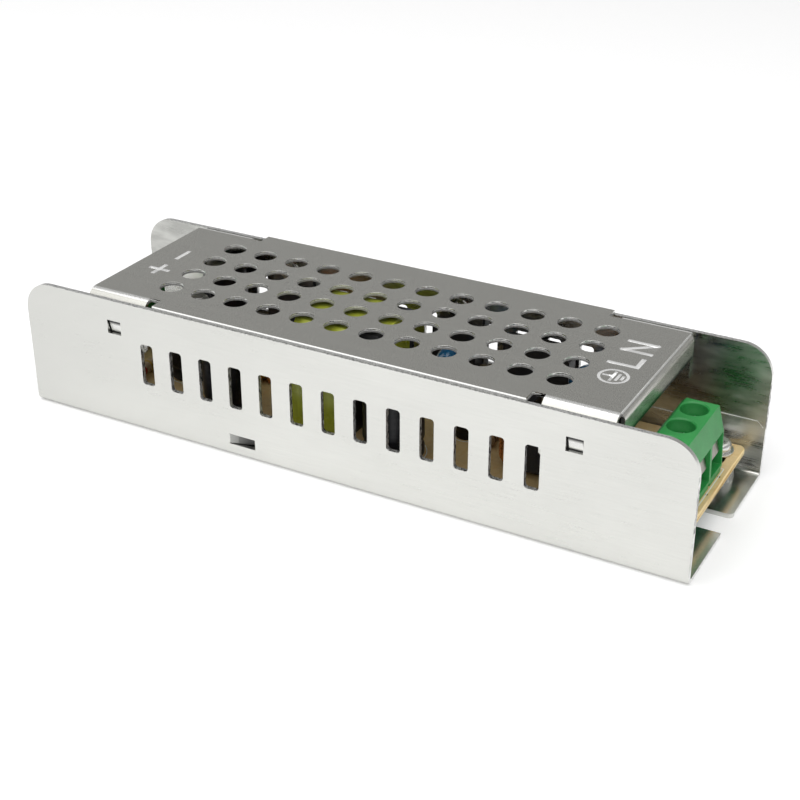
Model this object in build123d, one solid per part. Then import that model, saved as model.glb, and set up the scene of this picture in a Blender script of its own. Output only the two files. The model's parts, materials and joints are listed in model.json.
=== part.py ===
from build123d import *
import math
import os

# Enclosed switching power supply for LED strips.
# The origin is on the table under the middle of the case: X runs along the case towards the
# mains end, Y across it and Z up.

# Chassis: one folded aluminium channel, open at both ends
LENGTH = 150.0
WIDTH = 44.4
WALL_HEIGHT = 29.0
SHEET = 1.0
BEND_INNER_RADIUS = 0.6
WALL_CORNER_RADIUS = 6.5

# Row of vent slots in each wall
SLOT_COUNT = 13
SLOT_PITCH = 7.28
SLOT_WIDTH = 3.05
SLOT_HEIGHT = 9.3
SLOT_CENTRE_Z = 16.05
SLOT_CORNER = 0.7

# Open mounting slot in each end of the base
END_SLOT_WIDTH = 7.2
END_SLOT_DEPTH = 10.5
END_SLOT_MOUTH_RADIUS = 1.2

# Ramps pressed in from the walls, which carry the middle of the board
SUPPORT_X = -20.9
SUPPORT_LENGTH = 6.2
SUPPORT_HEIGHT = 2.0
SUPPORT_DEPTH = 1.8
SUPPORT_SLIT = 0.15

# Snap windows of the walls and the barbs of the cover that catch in them
SNAP_X = 51.7
SNAP_Z = 22.9
WINDOW_WIDTH = 3.4
WINDOW_HEIGHT = 3.0
BARB_WIDTH = 2.8
BARB_RISE = 0.8
BARB_CLEARANCE = 0.2

# Cover: one folded perforated sheet that rests on the tops of the walls
COVER_LENGTH = 119.2
COVER_SHEET = 0.8
COVER_EDGE_SETBACK = 0.5
FLANGE_GAP = 0.1
FLANGE_DEPTH = 12.3
FLANGE_END_INSET = 0.9
FLANGE_CORNER = 1.5
FLANGE_BEND_INNER_RADIUS = 1.8
NOTCH_START_X = 41.7
NOTCH_END_X = 44.3
LIP_DEPTH = 5.2
LIP_BEND_INNER_RADIUS = 0.9
LIP_HALF_WIDTH = 18.6
HOLE_COLUMNS = 12
HOLE_ROWS = 4
HOLE_PITCH_X = 8.0
HOLE_PITCH_Y = 7.85
HOLE_DIAMETER = 5.1

# Insulating film between the board and the chassis
FILM = 0.25
FILM_LENGTH = LENGTH - 26.0
FILM_HEIGHT = 9.4
FILM_EAR_START = LENGTH / 2 - 18.0
FILM_EAR_END = LENGTH / 2 - 0.5
FILM_EAR_HEIGHT = 11.8

# Circuit board
BOARD_LENGTH = 143.4
BOARD = 1.6
BOARD_UNDERSIDE = 5.0
BOARD_SIDE_GAP = 0.3
BOARD_CHAMFER = 0.9
BOARD_SCORE = 0.35
VENT_HOLE_RADIUS = 0.3
LEAD_RADIUS = 0.35
LEAD_TAIL = 1.2
LEAD_CLEARANCE = 0.1

# Board screws, their washers and the drawn bosses that they enter
SCREW_X = 66.8
SCREW_EDGE = 4.1
THREAD_RADIUS = 1.5
THREAD_CLEARANCE = 0.05
PAN_HEAD_RADIUS = 2.9
PAN_HEAD_HEIGHT = 1.8
SCREW_REACH = 2.4
WASHER_RADIUS = 3.5
WASHER = 0.5
WASHER_CLEARANCE = 0.2
BOARD_SLOT_RADIUS = 2.8
BOARD_SLOT_TRAVEL = 3.6
BOSS_BASE_RADIUS = 4.2
BOSS_TOP_RADIUS = 3.6

# Screw terminals
PITCH = 7.5
POLE_SIDE_GAP = 0.1
TERMINAL_DEPTH = 9.2
TERMINAL_HEIGHT = 13.8
TERMINAL_INSET = 4.8
INPUT_POLES = 3
INPUT_Y = -1.3
OUTPUT_POLES = 2
OUTPUT_Y = 0.0
FRONT_LEAN = 0.4
SLANT_START_Z = 8.6
SLANT_DEPTH = 1.8
TERMINAL_BACK_CHAMFER = 0.8
ENTRY_WIDTH = 6.4
ENTRY_FLOOR = 1.4
CHAMBER_TOP = 9.0
CHAMBER_BACK_WALL = 0.5
CHAMBER_FRONT_WALL = 1.8
WELL_X = -5.65
WELL_RADIUS = 2.7
WELL_FLOOR = 0.6
WELL_LEAD_IN = 0.3
FOOT_NOTCH = 0.9
FOOT_NOTCH_HEIGHT = 0.8

# Fixed contact of each pole
CONTACT = 0.7
CONTACT_WIDTH = 4.2
TONGUE_Z = 5.3
GUARD = 0.6
GUARD_WIDTH = 6.0
GUARD_BOTTOM_Z = 4.3
GUARD_TOP_Z = 8.3
GUARD_SET_IN = 0.75
GUARD_LEAN = 1.0
CONTACT_PIN_WIDTH = 1.0

# Rising cage and captive screw of each pole
CAGE_TRAVEL = 1.8
CAGE_WALL = 0.6
CAGE_BAR = 0.7
CAGE_NUT = 0.9
CAGE_DEPTH = 4.3
CAGE_GAP = 0.2
CAGE_BAR_GAP = 0.3
TERMINAL_HEAD_RADIUS = 2.4
TERMINAL_HEAD_HEIGHT = 1.6
TERMINAL_SLOT_WIDTH = 0.8
TERMINAL_SLOT_DEPTH = 0.8
SCREW_END_GAP = 0.2
SCREW_BODY_GAP = 0.3

# Series: the parts between the terminal blocks grow with the room they have along the case
BAY_HALF_LENGTH = 61.0
SERIES = (LENGTH / 2 - TERMINAL_INSET - TERMINAL_DEPTH) / BAY_HALF_LENGTH

# Power devices clamped to the far wall
DEVICE_WIDTH = 10.2
DEVICE_BODY = 4.5
DEVICE_BODY_HEIGHT = 9.2
DEVICE_TAB = 1.3
DEVICE_TAB_HEIGHT = 15.6
DEVICE_HOLE_RADIUS = 1.8
DEVICE_HOLE_DROP = 2.8
DEVICE_STAND_OFF = 4.9
DEVICE_LEAD_PITCH = 2.54
PAD = 0.3
PAD_MARGIN = 1.0
TRANSISTOR_X = 8.0 * SERIES
DIODE_X = -34.0 * SERIES

# Transformer: its core stands on edge, the winding lies along the case
CORE_LENGTH = 23.7 * SERIES
CORE_HEIGHT = 20.8
CORE_THICKNESS = 15.0
CORE_LEG = 3.0
CORE_BACK = 3.4
CORE_CENTRE_LEG = 6.4
TRANSFORMER_X = -8.2 * SERIES
TRANSFORMER_Y = -0.9
WINDING_AXIS_Z = 10.8
BOBBIN_WALL = 0.8
BOBBIN_CLEARANCE = 0.15
BOBBIN_FLANGE = 1.0
BOBBIN_RIM = 0.3
BOBBIN_PIN_STEP = 3.0
WINDING_HALF_WIDTH = 13.9
WINDING_CORNER = 2.6

# Toroids
CHOKE_OUTER = 8.0 * SERIES
CHOKE_INNER = 4.0 * SERIES
CHOKE_HEIGHT = 7.0
TOROID_WIRE = 1.0
INDUCTOR_OUTER = 7.0 * SERIES
INDUCTOR_INNER = 3.6 * SERIES
INDUCTOR_HEIGHT = 7.0
TURN_STEP = 16.0
INDUCTOR_TURNS = 19

# Sizes of the loose components
FUSE_DIAMETER = 3.8 * SERIES
FUSE_LENGTH = 10.0
RESISTOR_DIAMETER = 3.0
RESISTOR_LENGTH = 8.6
THERMISTOR_DIAMETER = 9.0
THERMISTOR_THICKNESS = 4.0 * SERIES
VARISTOR_DIAMETER = 10.6 * SERIES
VARISTOR_THICKNESS = 4.2
Y_CAPACITOR_DIAMETER = 11.0
Y_CAPACITOR_THICKNESS = 4.4 * SERIES
X_CAPACITOR_LENGTH = 13.0
X_CAPACITOR_WIDTH = 6.0 * SERIES
X_CAPACITOR_HEIGHT = 11.5
BULK_DIAMETER = 12.4 * SERIES
BULK_HEIGHT = 20.0
SUPPLY_DIAMETER = 5.0 * SERIES
SUPPLY_HEIGHT = 11.0
OUTPUT_DIAMETER = 10.0 * SERIES
OUTPUT_HEIGHT = 18.0
BRIDGE_LENGTH = 15.0 * SERIES
BRIDGE_HEIGHT = 11.0
BRIDGE_THICKNESS = 3.6
BRIDGE_STAND_OFF = 3.1
EDGE_GAP = 0.3

# Everything below follows from the sizes above
BOARD_TOP = BOARD_UNDERSIDE + BOARD
BOARD_WIDTH = WIDTH - 2 * SHEET - 2 * BOARD_SIDE_GAP
COVER_TOP = WALL_HEIGHT + COVER_SHEET
WALL_INSIDE = WIDTH / 2 - SHEET
FLANGE_OUTSIDE = WALL_INSIDE - FLANGE_GAP
LEAD_END = BOARD_UNDERSIDE - LEAD_TAIL
TERMINAL_FRONT = LENGTH / 2 - TERMINAL_INSET
SCREW_Y = BOARD_WIDTH / 2 - SCREW_EDGE
NEAR_EDGE = -BOARD_WIDTH / 2
FAR_EDGE = BOARD_WIDTH / 2
PIN_X = -TERMINAL_DEPTH + CHAMBER_BACK_WALL + 0.1 + CONTACT / 2
DEVICE_BACK_Y = WALL_INSIDE - PAD
DEVICE_HOLE_Z = DEVICE_STAND_OFF + DEVICE_TAB_HEIGHT - DEVICE_HOLE_DROP

# The inductor's two leads leave its first and last turns
INDUCTOR_LEAD_ANGLE = math.radians(180.0 - (INDUCTOR_TURNS - 1) / 2 * TURN_STEP)
INDUCTOR_LEAD_X = (INDUCTOR_OUTER + TOROID_WIRE / 2) * math.cos(INDUCTOR_LEAD_ANGLE)
INDUCTOR_LEAD_Y = (INDUCTOR_OUTER + TOROID_WIRE / 2) * math.sin(INDUCTOR_LEAD_ANGLE)

# Loose components: place on the board, turn in degrees, and lead positions about that place
COMPONENTS = {
    "input_fuse": (56.2 * SERIES, 5.0, 90, ((-7.0, 0.0), (7.0, 0.0))),
    "thermistor": (51.0 * SERIES, 3.5, 90, ((-2.5, 0.0), (2.5, 0.0))),
    "x_capacitor": (52.0 * SERIES, NEAR_EDGE + 9.9, 90, ((-5.0, 0.0), (5.0, 0.0))),
    "varistor": (40.5 * SERIES, FAR_EDGE - 5.0, 0, ((-3.75, 0.0), (3.75, 0.0))),
    "choke": (38.2 * SERIES, -3.4, 0, ((8.5, 0.0), (-8.5, 0.0))),
    "start_resistor": (37.6 * SERIES, FAR_EDGE - 10.4, 0, ((-6.0, 0.0), (6.0, 0.0))),
    "bridge_rectifier": (27.0 * SERIES, FAR_EDGE - 2.6, 0, (
        (-5.7, 0.0), (-1.9, 0.0), (1.9, 0.0), (5.7, 0.0))),
    "controller_chip": (24.6 * SERIES, FAR_EDGE - 9.0, 0, ()),
    "sense_resistor": (26.2 * SERIES, -0.6, 90, ((-6.0, 0.0), (6.0, 0.0))),
    "supply_capacitor": (20.4 * SERIES, -1.5, 0, ((-1.0, 0.0), (1.0, 0.0))),
    "bulk_capacitor": (10.4 * SERIES, NEAR_EDGE + BULK_DIAMETER / 2 + EDGE_GAP, 0, (
        (-2.5, 0.0), (2.5, 0.0))),
    "y_capacitor": (11.5 * SERIES, 8.2, 90, ((-3.75, 0.0), (3.75, 0.0))),
    "optocoupler": (-23.6 * SERIES, FAR_EDGE - 4.7, 0, ()),
    "output_inductor": (-33.6 * SERIES, 3.0, 0, (
        (INDUCTOR_LEAD_X, INDUCTOR_LEAD_Y), (INDUCTOR_LEAD_X, -INDUCTOR_LEAD_Y))),
    "output_capacitor_1": (-29.4 * SERIES, NEAR_EDGE + 6.5, 0, ((-2.5, 0.0), (2.5, 0.0))),
    "output_capacitor_2": (-44.6 * SERIES, -5.2, 0, ((-2.5, 0.0), (2.5, 0.0))),
    "output_capacitor_3": (-49.6 * SERIES, FAR_EDGE - 5.7, 0, ((-2.5, 0.0), (2.5, 0.0))),
    "load_resistor": (-53.5 * SERIES, NEAR_EDGE + 8.5, 90, ((-6.0, 0.0), (6.0, 0.0))),
}


def block(x0, x1, y0, y1, z0, z1):
    """Box between two corners."""
    middle = ((x0 + x1) / 2, (y0 + y1) / 2, (z0 + z1) / 2)
    return Pos(*middle) * Box(x1 - x0, y1 - y0, z1 - z0)


def post(x, y, z0, z1, radius):
    """Upright cylinder from z0 to z1."""
    return Pos(x, y, z0) * Cylinder(radius, z1 - z0, align=(Align.CENTER, Align.CENTER, Align.MIN))


def joined(shapes):
    """Union of a list of shapes."""
    total = shapes[0]
    for shape in shapes[1:]:
        total = total + shape
    return total


def along_x(face, length):
    """Prism of a Y-Z face, centred on X = 0."""
    return extrude(Plane.YZ * face, length / 2, both=True)


def along_y(face, length):
    """Prism of an X-Z face, centred on Y = 0."""
    return extrude(Plane.XZ * face, length / 2, both=True)


def channel_section(width, height, sheet, inner_radius):
    """Section of a folded channel that opens upwards, its base on the local X axis."""
    outer = Pos(0, height / 2) * Rectangle(width, height)
    outer = fillet(outer.vertices().group_by(Axis.Y)[0], inner_radius + sheet)
    inner = Pos(0, (height + sheet) / 2) * Rectangle(width - 2 * sheet, height - sheet)
    inner = fillet(inner.vertices().group_by(Axis.Y)[0], inner_radius)
    return outer - inner


def turned_round(shape):
    """The same shape at the other end of the case."""
    return Rot(0, 0, 180) * shape


def row(count, pitch):
    """Places of a centred row."""
    return [(index - (count - 1) / 2) * pitch for index in range(count)]


def at_component(name, shape):
    """Shape moved from the board's own frame to the place of a component."""
    x, y, turn, _ = COMPONENTS[name]
    return Pos(x, y, BOARD_TOP) * Rot(0, 0, turn) * shape


def lead_places(name):
    """Places on the board where a component's leads go through."""
    x, y, turn, leads = COMPONENTS[name]
    angle = math.radians(turn)
    cosine = math.cos(angle)
    sine = math.sin(angle)
    return [(x + u * cosine - v * sine, y + u * sine + v * cosine) for u, v in leads]


def leads(name, top):
    """Round leads of a component, from below the board up to a height above it."""
    _, _, _, places = COMPONENTS[name]
    return [post(u, v, LEAD_END - BOARD_TOP, top, LEAD_RADIUS) for u, v in places]


# Chassis

def end_slot_cutter():
    """Open slot of the base at the mains end, one corner of its mouth rounded."""
    half = END_SLOT_WIDTH / 2
    edge = LENGTH / 2
    radius = END_SLOT_MOUTH_RADIUS
    straight = edge - END_SLOT_DEPTH + half
    outline = Pos((straight + edge + SHEET) / 2, 0) * Rectangle(edge + SHEET - straight, END_SLOT_WIDTH)
    outline = outline + Pos(straight, 0) * Circle(half)
    corner = Pos(edge - radius / 2, half + radius / 2) * Rectangle(radius, radius)
    corner = corner - Pos(edge - radius, half + radius) * Circle(radius)
    return Pos(0, 0, -SHEET) * extrude(outline + corner, 3 * SHEET)


def support_ramp():
    """Ramp pressed in from the near wall: flush at its left end, deep at its right end."""
    wall = -WIDTH / 2
    start = SUPPORT_X - SUPPORT_LENGTH / 2
    end = SUPPORT_X + SUPPORT_LENGTH / 2
    outline = make_face(Polyline(
        (start, wall),
        (end, wall + SUPPORT_DEPTH),
        (end, wall + SUPPORT_DEPTH + SHEET),
        (start, wall + SHEET),
        close=True,
    ))
    return Pos(0, 0, BOARD_UNDERSIDE - SUPPORT_HEIGHT) * extrude(outline, SUPPORT_HEIGHT)


def support_opening():
    """Opening that the ramp leaves in the near wall."""
    start = SUPPORT_X - SUPPORT_LENGTH / 2
    end = SUPPORT_X + SUPPORT_LENGTH / 2 + SUPPORT_SLIT
    low = BOARD_UNDERSIDE - SUPPORT_HEIGHT - SUPPORT_SLIT
    return block(start, end, -WIDTH / 2 - SHEET, -WALL_INSIDE + SHEET / 2, low,
                 BOARD_UNDERSIDE + SUPPORT_SLIT)


def boss_body():
    """Outside of a boss drawn up from the base."""
    cone = Cone(BOSS_BASE_RADIUS, BOSS_TOP_RADIUS, BOARD_UNDERSIDE,
                align=(Align.CENTER, Align.CENTER, Align.MIN))
    return Pos(SCREW_X, SCREW_Y, 0) * cone


def boss_hollow():
    """Inside of that boss and its threaded hole."""
    height = BOARD_UNDERSIDE - SHEET
    cone = Cone(BOSS_BASE_RADIUS - SHEET, BOSS_TOP_RADIUS - SHEET, height,
                align=(Align.CENTER, Align.CENTER, Align.MIN))
    hole = post(SCREW_X, SCREW_Y, height - SHEET, BOARD_UNDERSIDE + SHEET, THREAD_RADIUS)
    return Pos(SCREW_X, SCREW_Y, 0) * cone + hole


def chassis():
    """Folded channel with its slots, windows, supports and bosses."""
    shell = along_x(channel_section(WIDTH, WALL_HEIGHT, SHEET, BEND_INNER_RADIUS), LENGTH)
    side = Pos(0, WALL_HEIGHT / 2) * Rectangle(LENGTH, WALL_HEIGHT)
    side = fillet(side.vertices().group_by(Axis.Y)[-1], WALL_CORNER_RADIUS)
    shell = shell & along_y(side, WIDTH + 2 * SHEET)
    slot = along_y(RectangleRounded(SLOT_WIDTH, SLOT_HEIGHT, SLOT_CORNER), 2 * WIDTH)
    cuts = [Pos(x, 0, SLOT_CENTRE_Z) * slot for x in row(SLOT_COUNT, SLOT_PITCH)]
    window = Box(WINDOW_WIDTH, 2 * WIDTH, WINDOW_HEIGHT)
    cuts += [Pos(x, 0, SNAP_Z) * window for x in (-SNAP_X, SNAP_X)]
    device_hole = Rot(90, 0, 0) * Cylinder(THREAD_RADIUS, 4 * SHEET)
    for x in (TRANSISTOR_X, DIODE_X):
        cuts.append(Pos(x, WIDTH / 2, BOARD_TOP + DEVICE_HOLE_Z) * device_hole)
    for cutter in (end_slot_cutter(), support_opening()):
        cuts += [cutter, turned_round(cutter)]
    shell = shell - cuts
    for added in (support_ramp(), boss_body()):
        shell = shell + added + turned_round(added)
    return shell - [boss_hollow(), turned_round(boss_hollow())]


# Cover

def flange_sheet():
    """Cross-section of the cover where its side flanges are."""
    width = 2 * FLANGE_OUTSIDE
    section = channel_section(width, FLANGE_DEPTH, COVER_SHEET, FLANGE_BEND_INNER_RADIUS)
    return Pos(0, COVER_TOP) * Rot(0, 0, 180) * section


def flange_pair():
    """Side flanges of the mains end, their lower corners cut off."""
    start = NOTCH_END_X
    end = COVER_LENGTH / 2 - FLANGE_END_INSET
    solid = Pos((start + end) / 2, 0, 0) * along_x(flange_sheet(), end - start)
    low = COVER_TOP - FLANGE_DEPTH
    side = Pos((start + end) / 2, low + FLANGE_DEPTH / 2) * Rectangle(end - start, FLANGE_DEPTH)
    side = chamfer(side.vertices().group_by(Axis.Y)[0], FLANGE_CORNER)
    return solid & along_y(side, WIDTH)


def lip_strip():
    """Middle strip of the cover with the lip bent down at each end."""
    section = channel_section(COVER_LENGTH, LIP_DEPTH, COVER_SHEET, LIP_BEND_INNER_RADIUS)
    section = Pos(0, COVER_TOP) * Rot(0, 0, 180) * section
    return along_y(section, 2 * LIP_HALF_WIDTH)


def barb_opening(side):
    """Opening that a barb leaves in its flange."""
    half = BARB_WIDTH / 2
    low = SNAP_Z - WINDOW_HEIGHT / 2 - BARB_CLEARANCE / 2
    high = SNAP_Z + WINDOW_HEIGHT / 2
    inside = side * (FLANGE_OUTSIDE - 2 * COVER_SHEET)
    outside = side * (FLANGE_OUTSIDE + COVER_SHEET)
    return block(SNAP_X - half, SNAP_X + half, min(inside, outside), max(inside, outside), low, high)


def barb(side):
    """Barb pressed out of a flange, hinged at its lower edge."""
    low = SNAP_Z - WINDOW_HEIGHT / 2 - BARB_CLEARANCE / 2
    high = SNAP_Z + WINDOW_HEIGHT / 2 - BARB_CLEARANCE
    near = side * (FLANGE_OUTSIDE - COVER_SHEET)
    far = side * FLANGE_OUTSIDE
    rise = side * BARB_RISE
    outline = make_face(Polyline((near, low), (far, low), (far + rise, high), (near + rise, high),
                                 close=True))
    return Pos(SNAP_X, 0, 0) * along_x(outline, BARB_WIDTH)


def cover():
    """Folded sheet with its hole field, flanges, barbs and end lips."""
    middle_half_width = WIDTH / 2 - COVER_EDGE_SETBACK
    sheet = block(-NOTCH_START_X, NOTCH_START_X, -middle_half_width, middle_half_width,
                  WALL_HEIGHT, COVER_TOP)
    flanges = flange_pair()
    sheet = sheet + lip_strip() + flanges + turned_round(flanges)
    places = [(x, y) for x in row(HOLE_COLUMNS, HOLE_PITCH_X) for y in row(HOLE_ROWS, HOLE_PITCH_Y)]
    cuts = [post(x, y, WALL_HEIGHT - SHEET, COVER_TOP + SHEET, HOLE_DIAMETER / 2) for x, y in places]
    for side in (-1, 1):
        cuts += [barb_opening(side), turned_round(barb_opening(side))]
    sheet = sheet - cuts
    for side in (-1, 1):
        sheet = sheet + barb(side) + turned_round(barb(side))
    return sheet


# Film and board

def insulation_film():
    """Thin film under the board, folded up along both walls and higher at its ends."""
    section = channel_section(2 * WALL_INSIDE, FILM_HEIGHT, FILM, BEND_INNER_RADIUS)
    film = along_x(section, FILM_LENGTH)
    ear = block(FILM_EAR_START, FILM_EAR_END, WALL_INSIDE - FILM, WALL_INSIDE,
                2 * BEND_INNER_RADIUS, FILM_EAR_HEIGHT)
    corner = ear.edges().filter_by(Axis.Y).sort_by(Axis.Z)[-2:]
    ear = chamfer(corner, FILM_EAR_HEIGHT / 10)
    ears = [ear, mirror(ear, Plane.XZ)]
    film = joined([film] + ears + [turned_round(one) for one in ears])
    reach = SUPPORT_LENGTH / 2 + SHEET
    low = BOARD_UNDERSIDE - SUPPORT_HEIGHT - 2 * SUPPORT_SLIT
    notch = block(SUPPORT_X - reach, SUPPORT_X + reach, -WALL_INSIDE - SHEET,
                  -WALL_INSIDE + SUPPORT_DEPTH + SHEET, low - SHEET, BOARD_UNDERSIDE + 2 * SUPPORT_SLIT)
    return Pos(0, 0, SHEET) * film - [notch, turned_round(notch)]


def board_slot():
    """Slot of the board that a screw holds at its outer end."""
    shape = Pos(SCREW_X, SCREW_Y) * Circle(BOARD_SLOT_RADIUS)
    shape = shape + Pos(SCREW_X, SCREW_Y - BOARD_SLOT_TRAVEL) * Circle(BOARD_SLOT_RADIUS)
    middle = SCREW_Y - BOARD_SLOT_TRAVEL / 2
    shape = shape + Pos(SCREW_X, middle) * Rectangle(2 * BOARD_SLOT_RADIUS, BOARD_SLOT_TRAVEL)
    return Pos(0, 0, BOARD_UNDERSIDE - BOARD) * extrude(shape, 3 * BOARD)


def terminal_pin_places(poles, y, at_far_end):
    """Places of the pins of a terminal block."""
    side = -1 if at_far_end else 1
    return [(side * (TERMINAL_FRONT + PIN_X), side * pole + y) for pole in row(poles, PITCH)]


def circuit_board():
    """Board with chamfered corners, its screw slots and lead holes."""
    outline = Rectangle(BOARD_LENGTH, BOARD_WIDTH)
    outline = chamfer(outline.vertices(), BOARD_CHAMFER)
    board = Pos(0, 0, BOARD_UNDERSIDE) * extrude(outline, BOARD)
    ends = board.edges().filter_by(Axis.Y).group_by(Axis.X)
    board = chamfer(ends[0] + ends[-1], BOARD_SCORE)
    cuts = [board_slot(), turned_round(board_slot())]
    places = [place for name in COMPONENTS for place in lead_places(name)]
    places += bobbin_pin_places() + device_lead_places()
    for x, y in places:
        cuts.append(post(x, y, LEAD_END, BOARD_TOP + BOARD, LEAD_RADIUS + LEAD_CLEARANCE))
    for pole in row(INPUT_POLES, PITCH):
        vent = post(TERMINAL_FRONT + VENT_HOLE_RADIUS + LEAD_CLEARANCE, INPUT_Y + pole + 0.7, LEAD_END,
                    BOARD_TOP + BOARD, VENT_HOLE_RADIUS)
        cuts.append(vent)
    pins = terminal_pin_places(INPUT_POLES, INPUT_Y, False)
    pins += terminal_pin_places(OUTPUT_POLES, OUTPUT_Y, True)
    half_x = CONTACT / 2 + LEAD_CLEARANCE
    half_y = CONTACT_PIN_WIDTH / 2 + LEAD_CLEARANCE
    for x, y in pins:
        cuts.append(block(x - half_x, x + half_x, y - half_y, y + half_y, LEAD_END, BOARD_TOP + BOARD))
    return board - cuts


def pan_screw(length, head_radius, head_height):
    """Pan-head cross-recess screw, its head on z = 0 and its shank below."""
    head = Cylinder(head_radius, head_height, align=(Align.CENTER, Align.CENTER, Align.MIN))
    head = fillet(head.edges().group_by(Axis.Z)[-1], head_height * 0.45)
    arm = head_radius * 1.1
    recess = Pos(0, 0, head_height) * (Box(arm, arm / 4, head_height) + Box(arm / 4, arm, head_height))
    shank = post(0, 0, -length, 0, THREAD_RADIUS - THREAD_CLEARANCE)
    return head - recess + shank


def board_screws():
    """The two screws that hold the board."""
    screw = Pos(SCREW_X, SCREW_Y, BOARD_TOP + WASHER) * pan_screw(
        WASHER + BOARD + SCREW_REACH, PAN_HEAD_RADIUS, PAN_HEAD_HEIGHT)
    return Compound(children=[screw, turned_round(screw)])


def board_washers():
    """The washers under the heads of the board screws."""
    ring = post(SCREW_X, SCREW_Y, BOARD_TOP, BOARD_TOP + WASHER, WASHER_RADIUS)
    ring = ring - post(SCREW_X, SCREW_Y, 0, BOARD_TOP + WASHER + BOARD, THREAD_RADIUS + WASHER_CLEARANCE)
    return Compound(children=[ring, turned_round(ring)])


# Screw terminals: the local frame has its front at x = 0, facing +X, and the board at z = 0

def terminal_housing(poles):
    """Moulded housing with a wire entry, a chamber and a screw well for each pole."""
    depth = TERMINAL_DEPTH
    height = TERMINAL_HEIGHT
    profile = make_face(Polyline(
        (-depth, 0),
        (0, 0),
        (-FRONT_LEAN, SLANT_START_Z),
        (-SLANT_DEPTH, height),
        (-depth + TERMINAL_BACK_CHAMFER, height),
        (-depth, height - TERMINAL_BACK_CHAMFER),
        close=True,
    ))
    body = along_y(profile, poles * PITCH - 2 * POLE_SIDE_GAP)
    half = ENTRY_WIDTH / 2
    ledge = CHAMBER_TOP + WELL_FLOOR
    pin_half_x = CONTACT / 2 + LEAD_CLEARANCE
    pin_half_y = CONTACT_PIN_WIDTH / 2 + LEAD_CLEARANCE
    cuts = []
    for y in row(poles, PITCH):
        cuts.append(block(-CHAMBER_FRONT_WALL - 0.2, 1, y - half, y + half, ENTRY_FLOOR, SLANT_START_Z))
        cuts.append(block(-depth + CHAMBER_BACK_WALL, -CHAMBER_FRONT_WALL, y - half, y + half,
                          ENTRY_FLOOR, CHAMBER_TOP))
        cuts.append(post(WELL_X, y, ledge, height + 1, WELL_RADIUS))
        cuts.append(post(WELL_X, y, CHAMBER_TOP - 1, ledge + 1, THREAD_RADIUS + SCREW_BODY_GAP))
        lead_in = Cone(WELL_RADIUS, WELL_RADIUS + WELL_LEAD_IN, WELL_LEAD_IN,
                       align=(Align.CENTER, Align.CENTER, Align.MAX))
        cuts.append(Pos(WELL_X, y, height) * lead_in)
        cuts.append(block(-FOOT_NOTCH, 1, y + half - FOOT_NOTCH / 3, y + half + 2 * FOOT_NOTCH / 3, -1,
                          FOOT_NOTCH_HEIGHT))
        cuts.append(block(PIN_X - pin_half_x, PIN_X + pin_half_x, y - pin_half_y, y + pin_half_y,
                          -1, ENTRY_FLOOR + 1))
    return body - cuts


def terminal_contact():
    """Contact strip of one pole: pin, riser, clamping tongue and leaning guard plate."""
    back = PIN_X - CONTACT / 2
    tongue_top = TONGUE_Z + CONTACT
    path = make_face(Polyline(
        (back, ENTRY_FLOOR),
        (back + CONTACT, ENTRY_FLOOR),
        (back + CONTACT, TONGUE_Z),
        (-GUARD_SET_IN - GUARD, TONGUE_Z),
        (-GUARD_SET_IN - GUARD, tongue_top),
        (back, tongue_top),
        close=True,
    ))
    strip = along_y(path, CONTACT_WIDTH)
    guard = make_face(Polyline(
        (-GUARD_SET_IN, GUARD_BOTTOM_Z),
        (-GUARD_SET_IN - GUARD_LEAN, GUARD_TOP_Z),
        (-GUARD_SET_IN - GUARD_LEAN - GUARD, GUARD_TOP_Z),
        (-GUARD_SET_IN - GUARD, GUARD_BOTTOM_Z),
        close=True,
    ))
    half = CONTACT_PIN_WIDTH / 2
    pin = block(back, back + CONTACT, -half, half, LEAD_END - BOARD_TOP, ENTRY_FLOOR)
    return strip + along_y(guard, GUARD_WIDTH) + pin


def terminal_cage():
    """Cage of one pole, drawn fully raised: bar below the tongue, nut above it."""
    half = ENTRY_WIDTH / 2 - CAGE_BAR_GAP
    top_of_bar = TONGUE_Z - CAGE_BAR_GAP
    nut_bottom = TONGUE_Z + CONTACT + CAGE_TRAVEL + LEAD_CLEARANCE
    section = Pos(0, (top_of_bar - CAGE_BAR + nut_bottom + CAGE_NUT) / 2) * Rectangle(
        2 * half, nut_bottom + CAGE_NUT - top_of_bar + CAGE_BAR)
    section = fillet(section.vertices(), CAGE_WALL)
    hollow = Pos(0, (top_of_bar + nut_bottom) / 2) * Rectangle(
        2 * (half - CAGE_WALL), nut_bottom - top_of_bar)
    cage = Pos(WELL_X, 0, 0) * along_x(section - hollow, CAGE_DEPTH)
    return cage - post(WELL_X, 0, nut_bottom - CAGE_GAP, nut_bottom + 2 * CAGE_NUT, THREAD_RADIUS)


def terminal_screw():
    """Slotted clamping screw of one pole, its head on the floor of the well."""
    ledge = CHAMBER_TOP + WELL_FLOOR
    head = post(WELL_X, 0, ledge, ledge + TERMINAL_HEAD_HEIGHT, TERMINAL_HEAD_RADIUS)
    top = head.edges().group_by(Axis.Z)[-1]
    head = chamfer(top, TERMINAL_HEAD_HEIGHT / 5)
    slot = Pos(WELL_X, 0, ledge + TERMINAL_HEAD_HEIGHT) * Box(
        3 * TERMINAL_HEAD_RADIUS, TERMINAL_SLOT_WIDTH, 2 * TERMINAL_SLOT_DEPTH)
    end = TONGUE_Z + CONTACT + SCREW_END_GAP
    shank = post(WELL_X, 0, end, ledge, THREAD_RADIUS - THREAD_CLEARANCE)
    return head - slot + shank


def at_input(shape, pole=0.0):
    """Terminal part moved to the mains end."""
    return Pos(TERMINAL_FRONT, INPUT_Y + pole, BOARD_TOP) * shape


def at_output(shape, pole=0.0):
    """Terminal part moved to the low-voltage end, facing the other way."""
    return Pos(-TERMINAL_FRONT, OUTPUT_Y - pole, BOARD_TOP) * Rot(0, 0, 180) * shape


# Components on the board: the local frame has the board at z = 0

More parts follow.
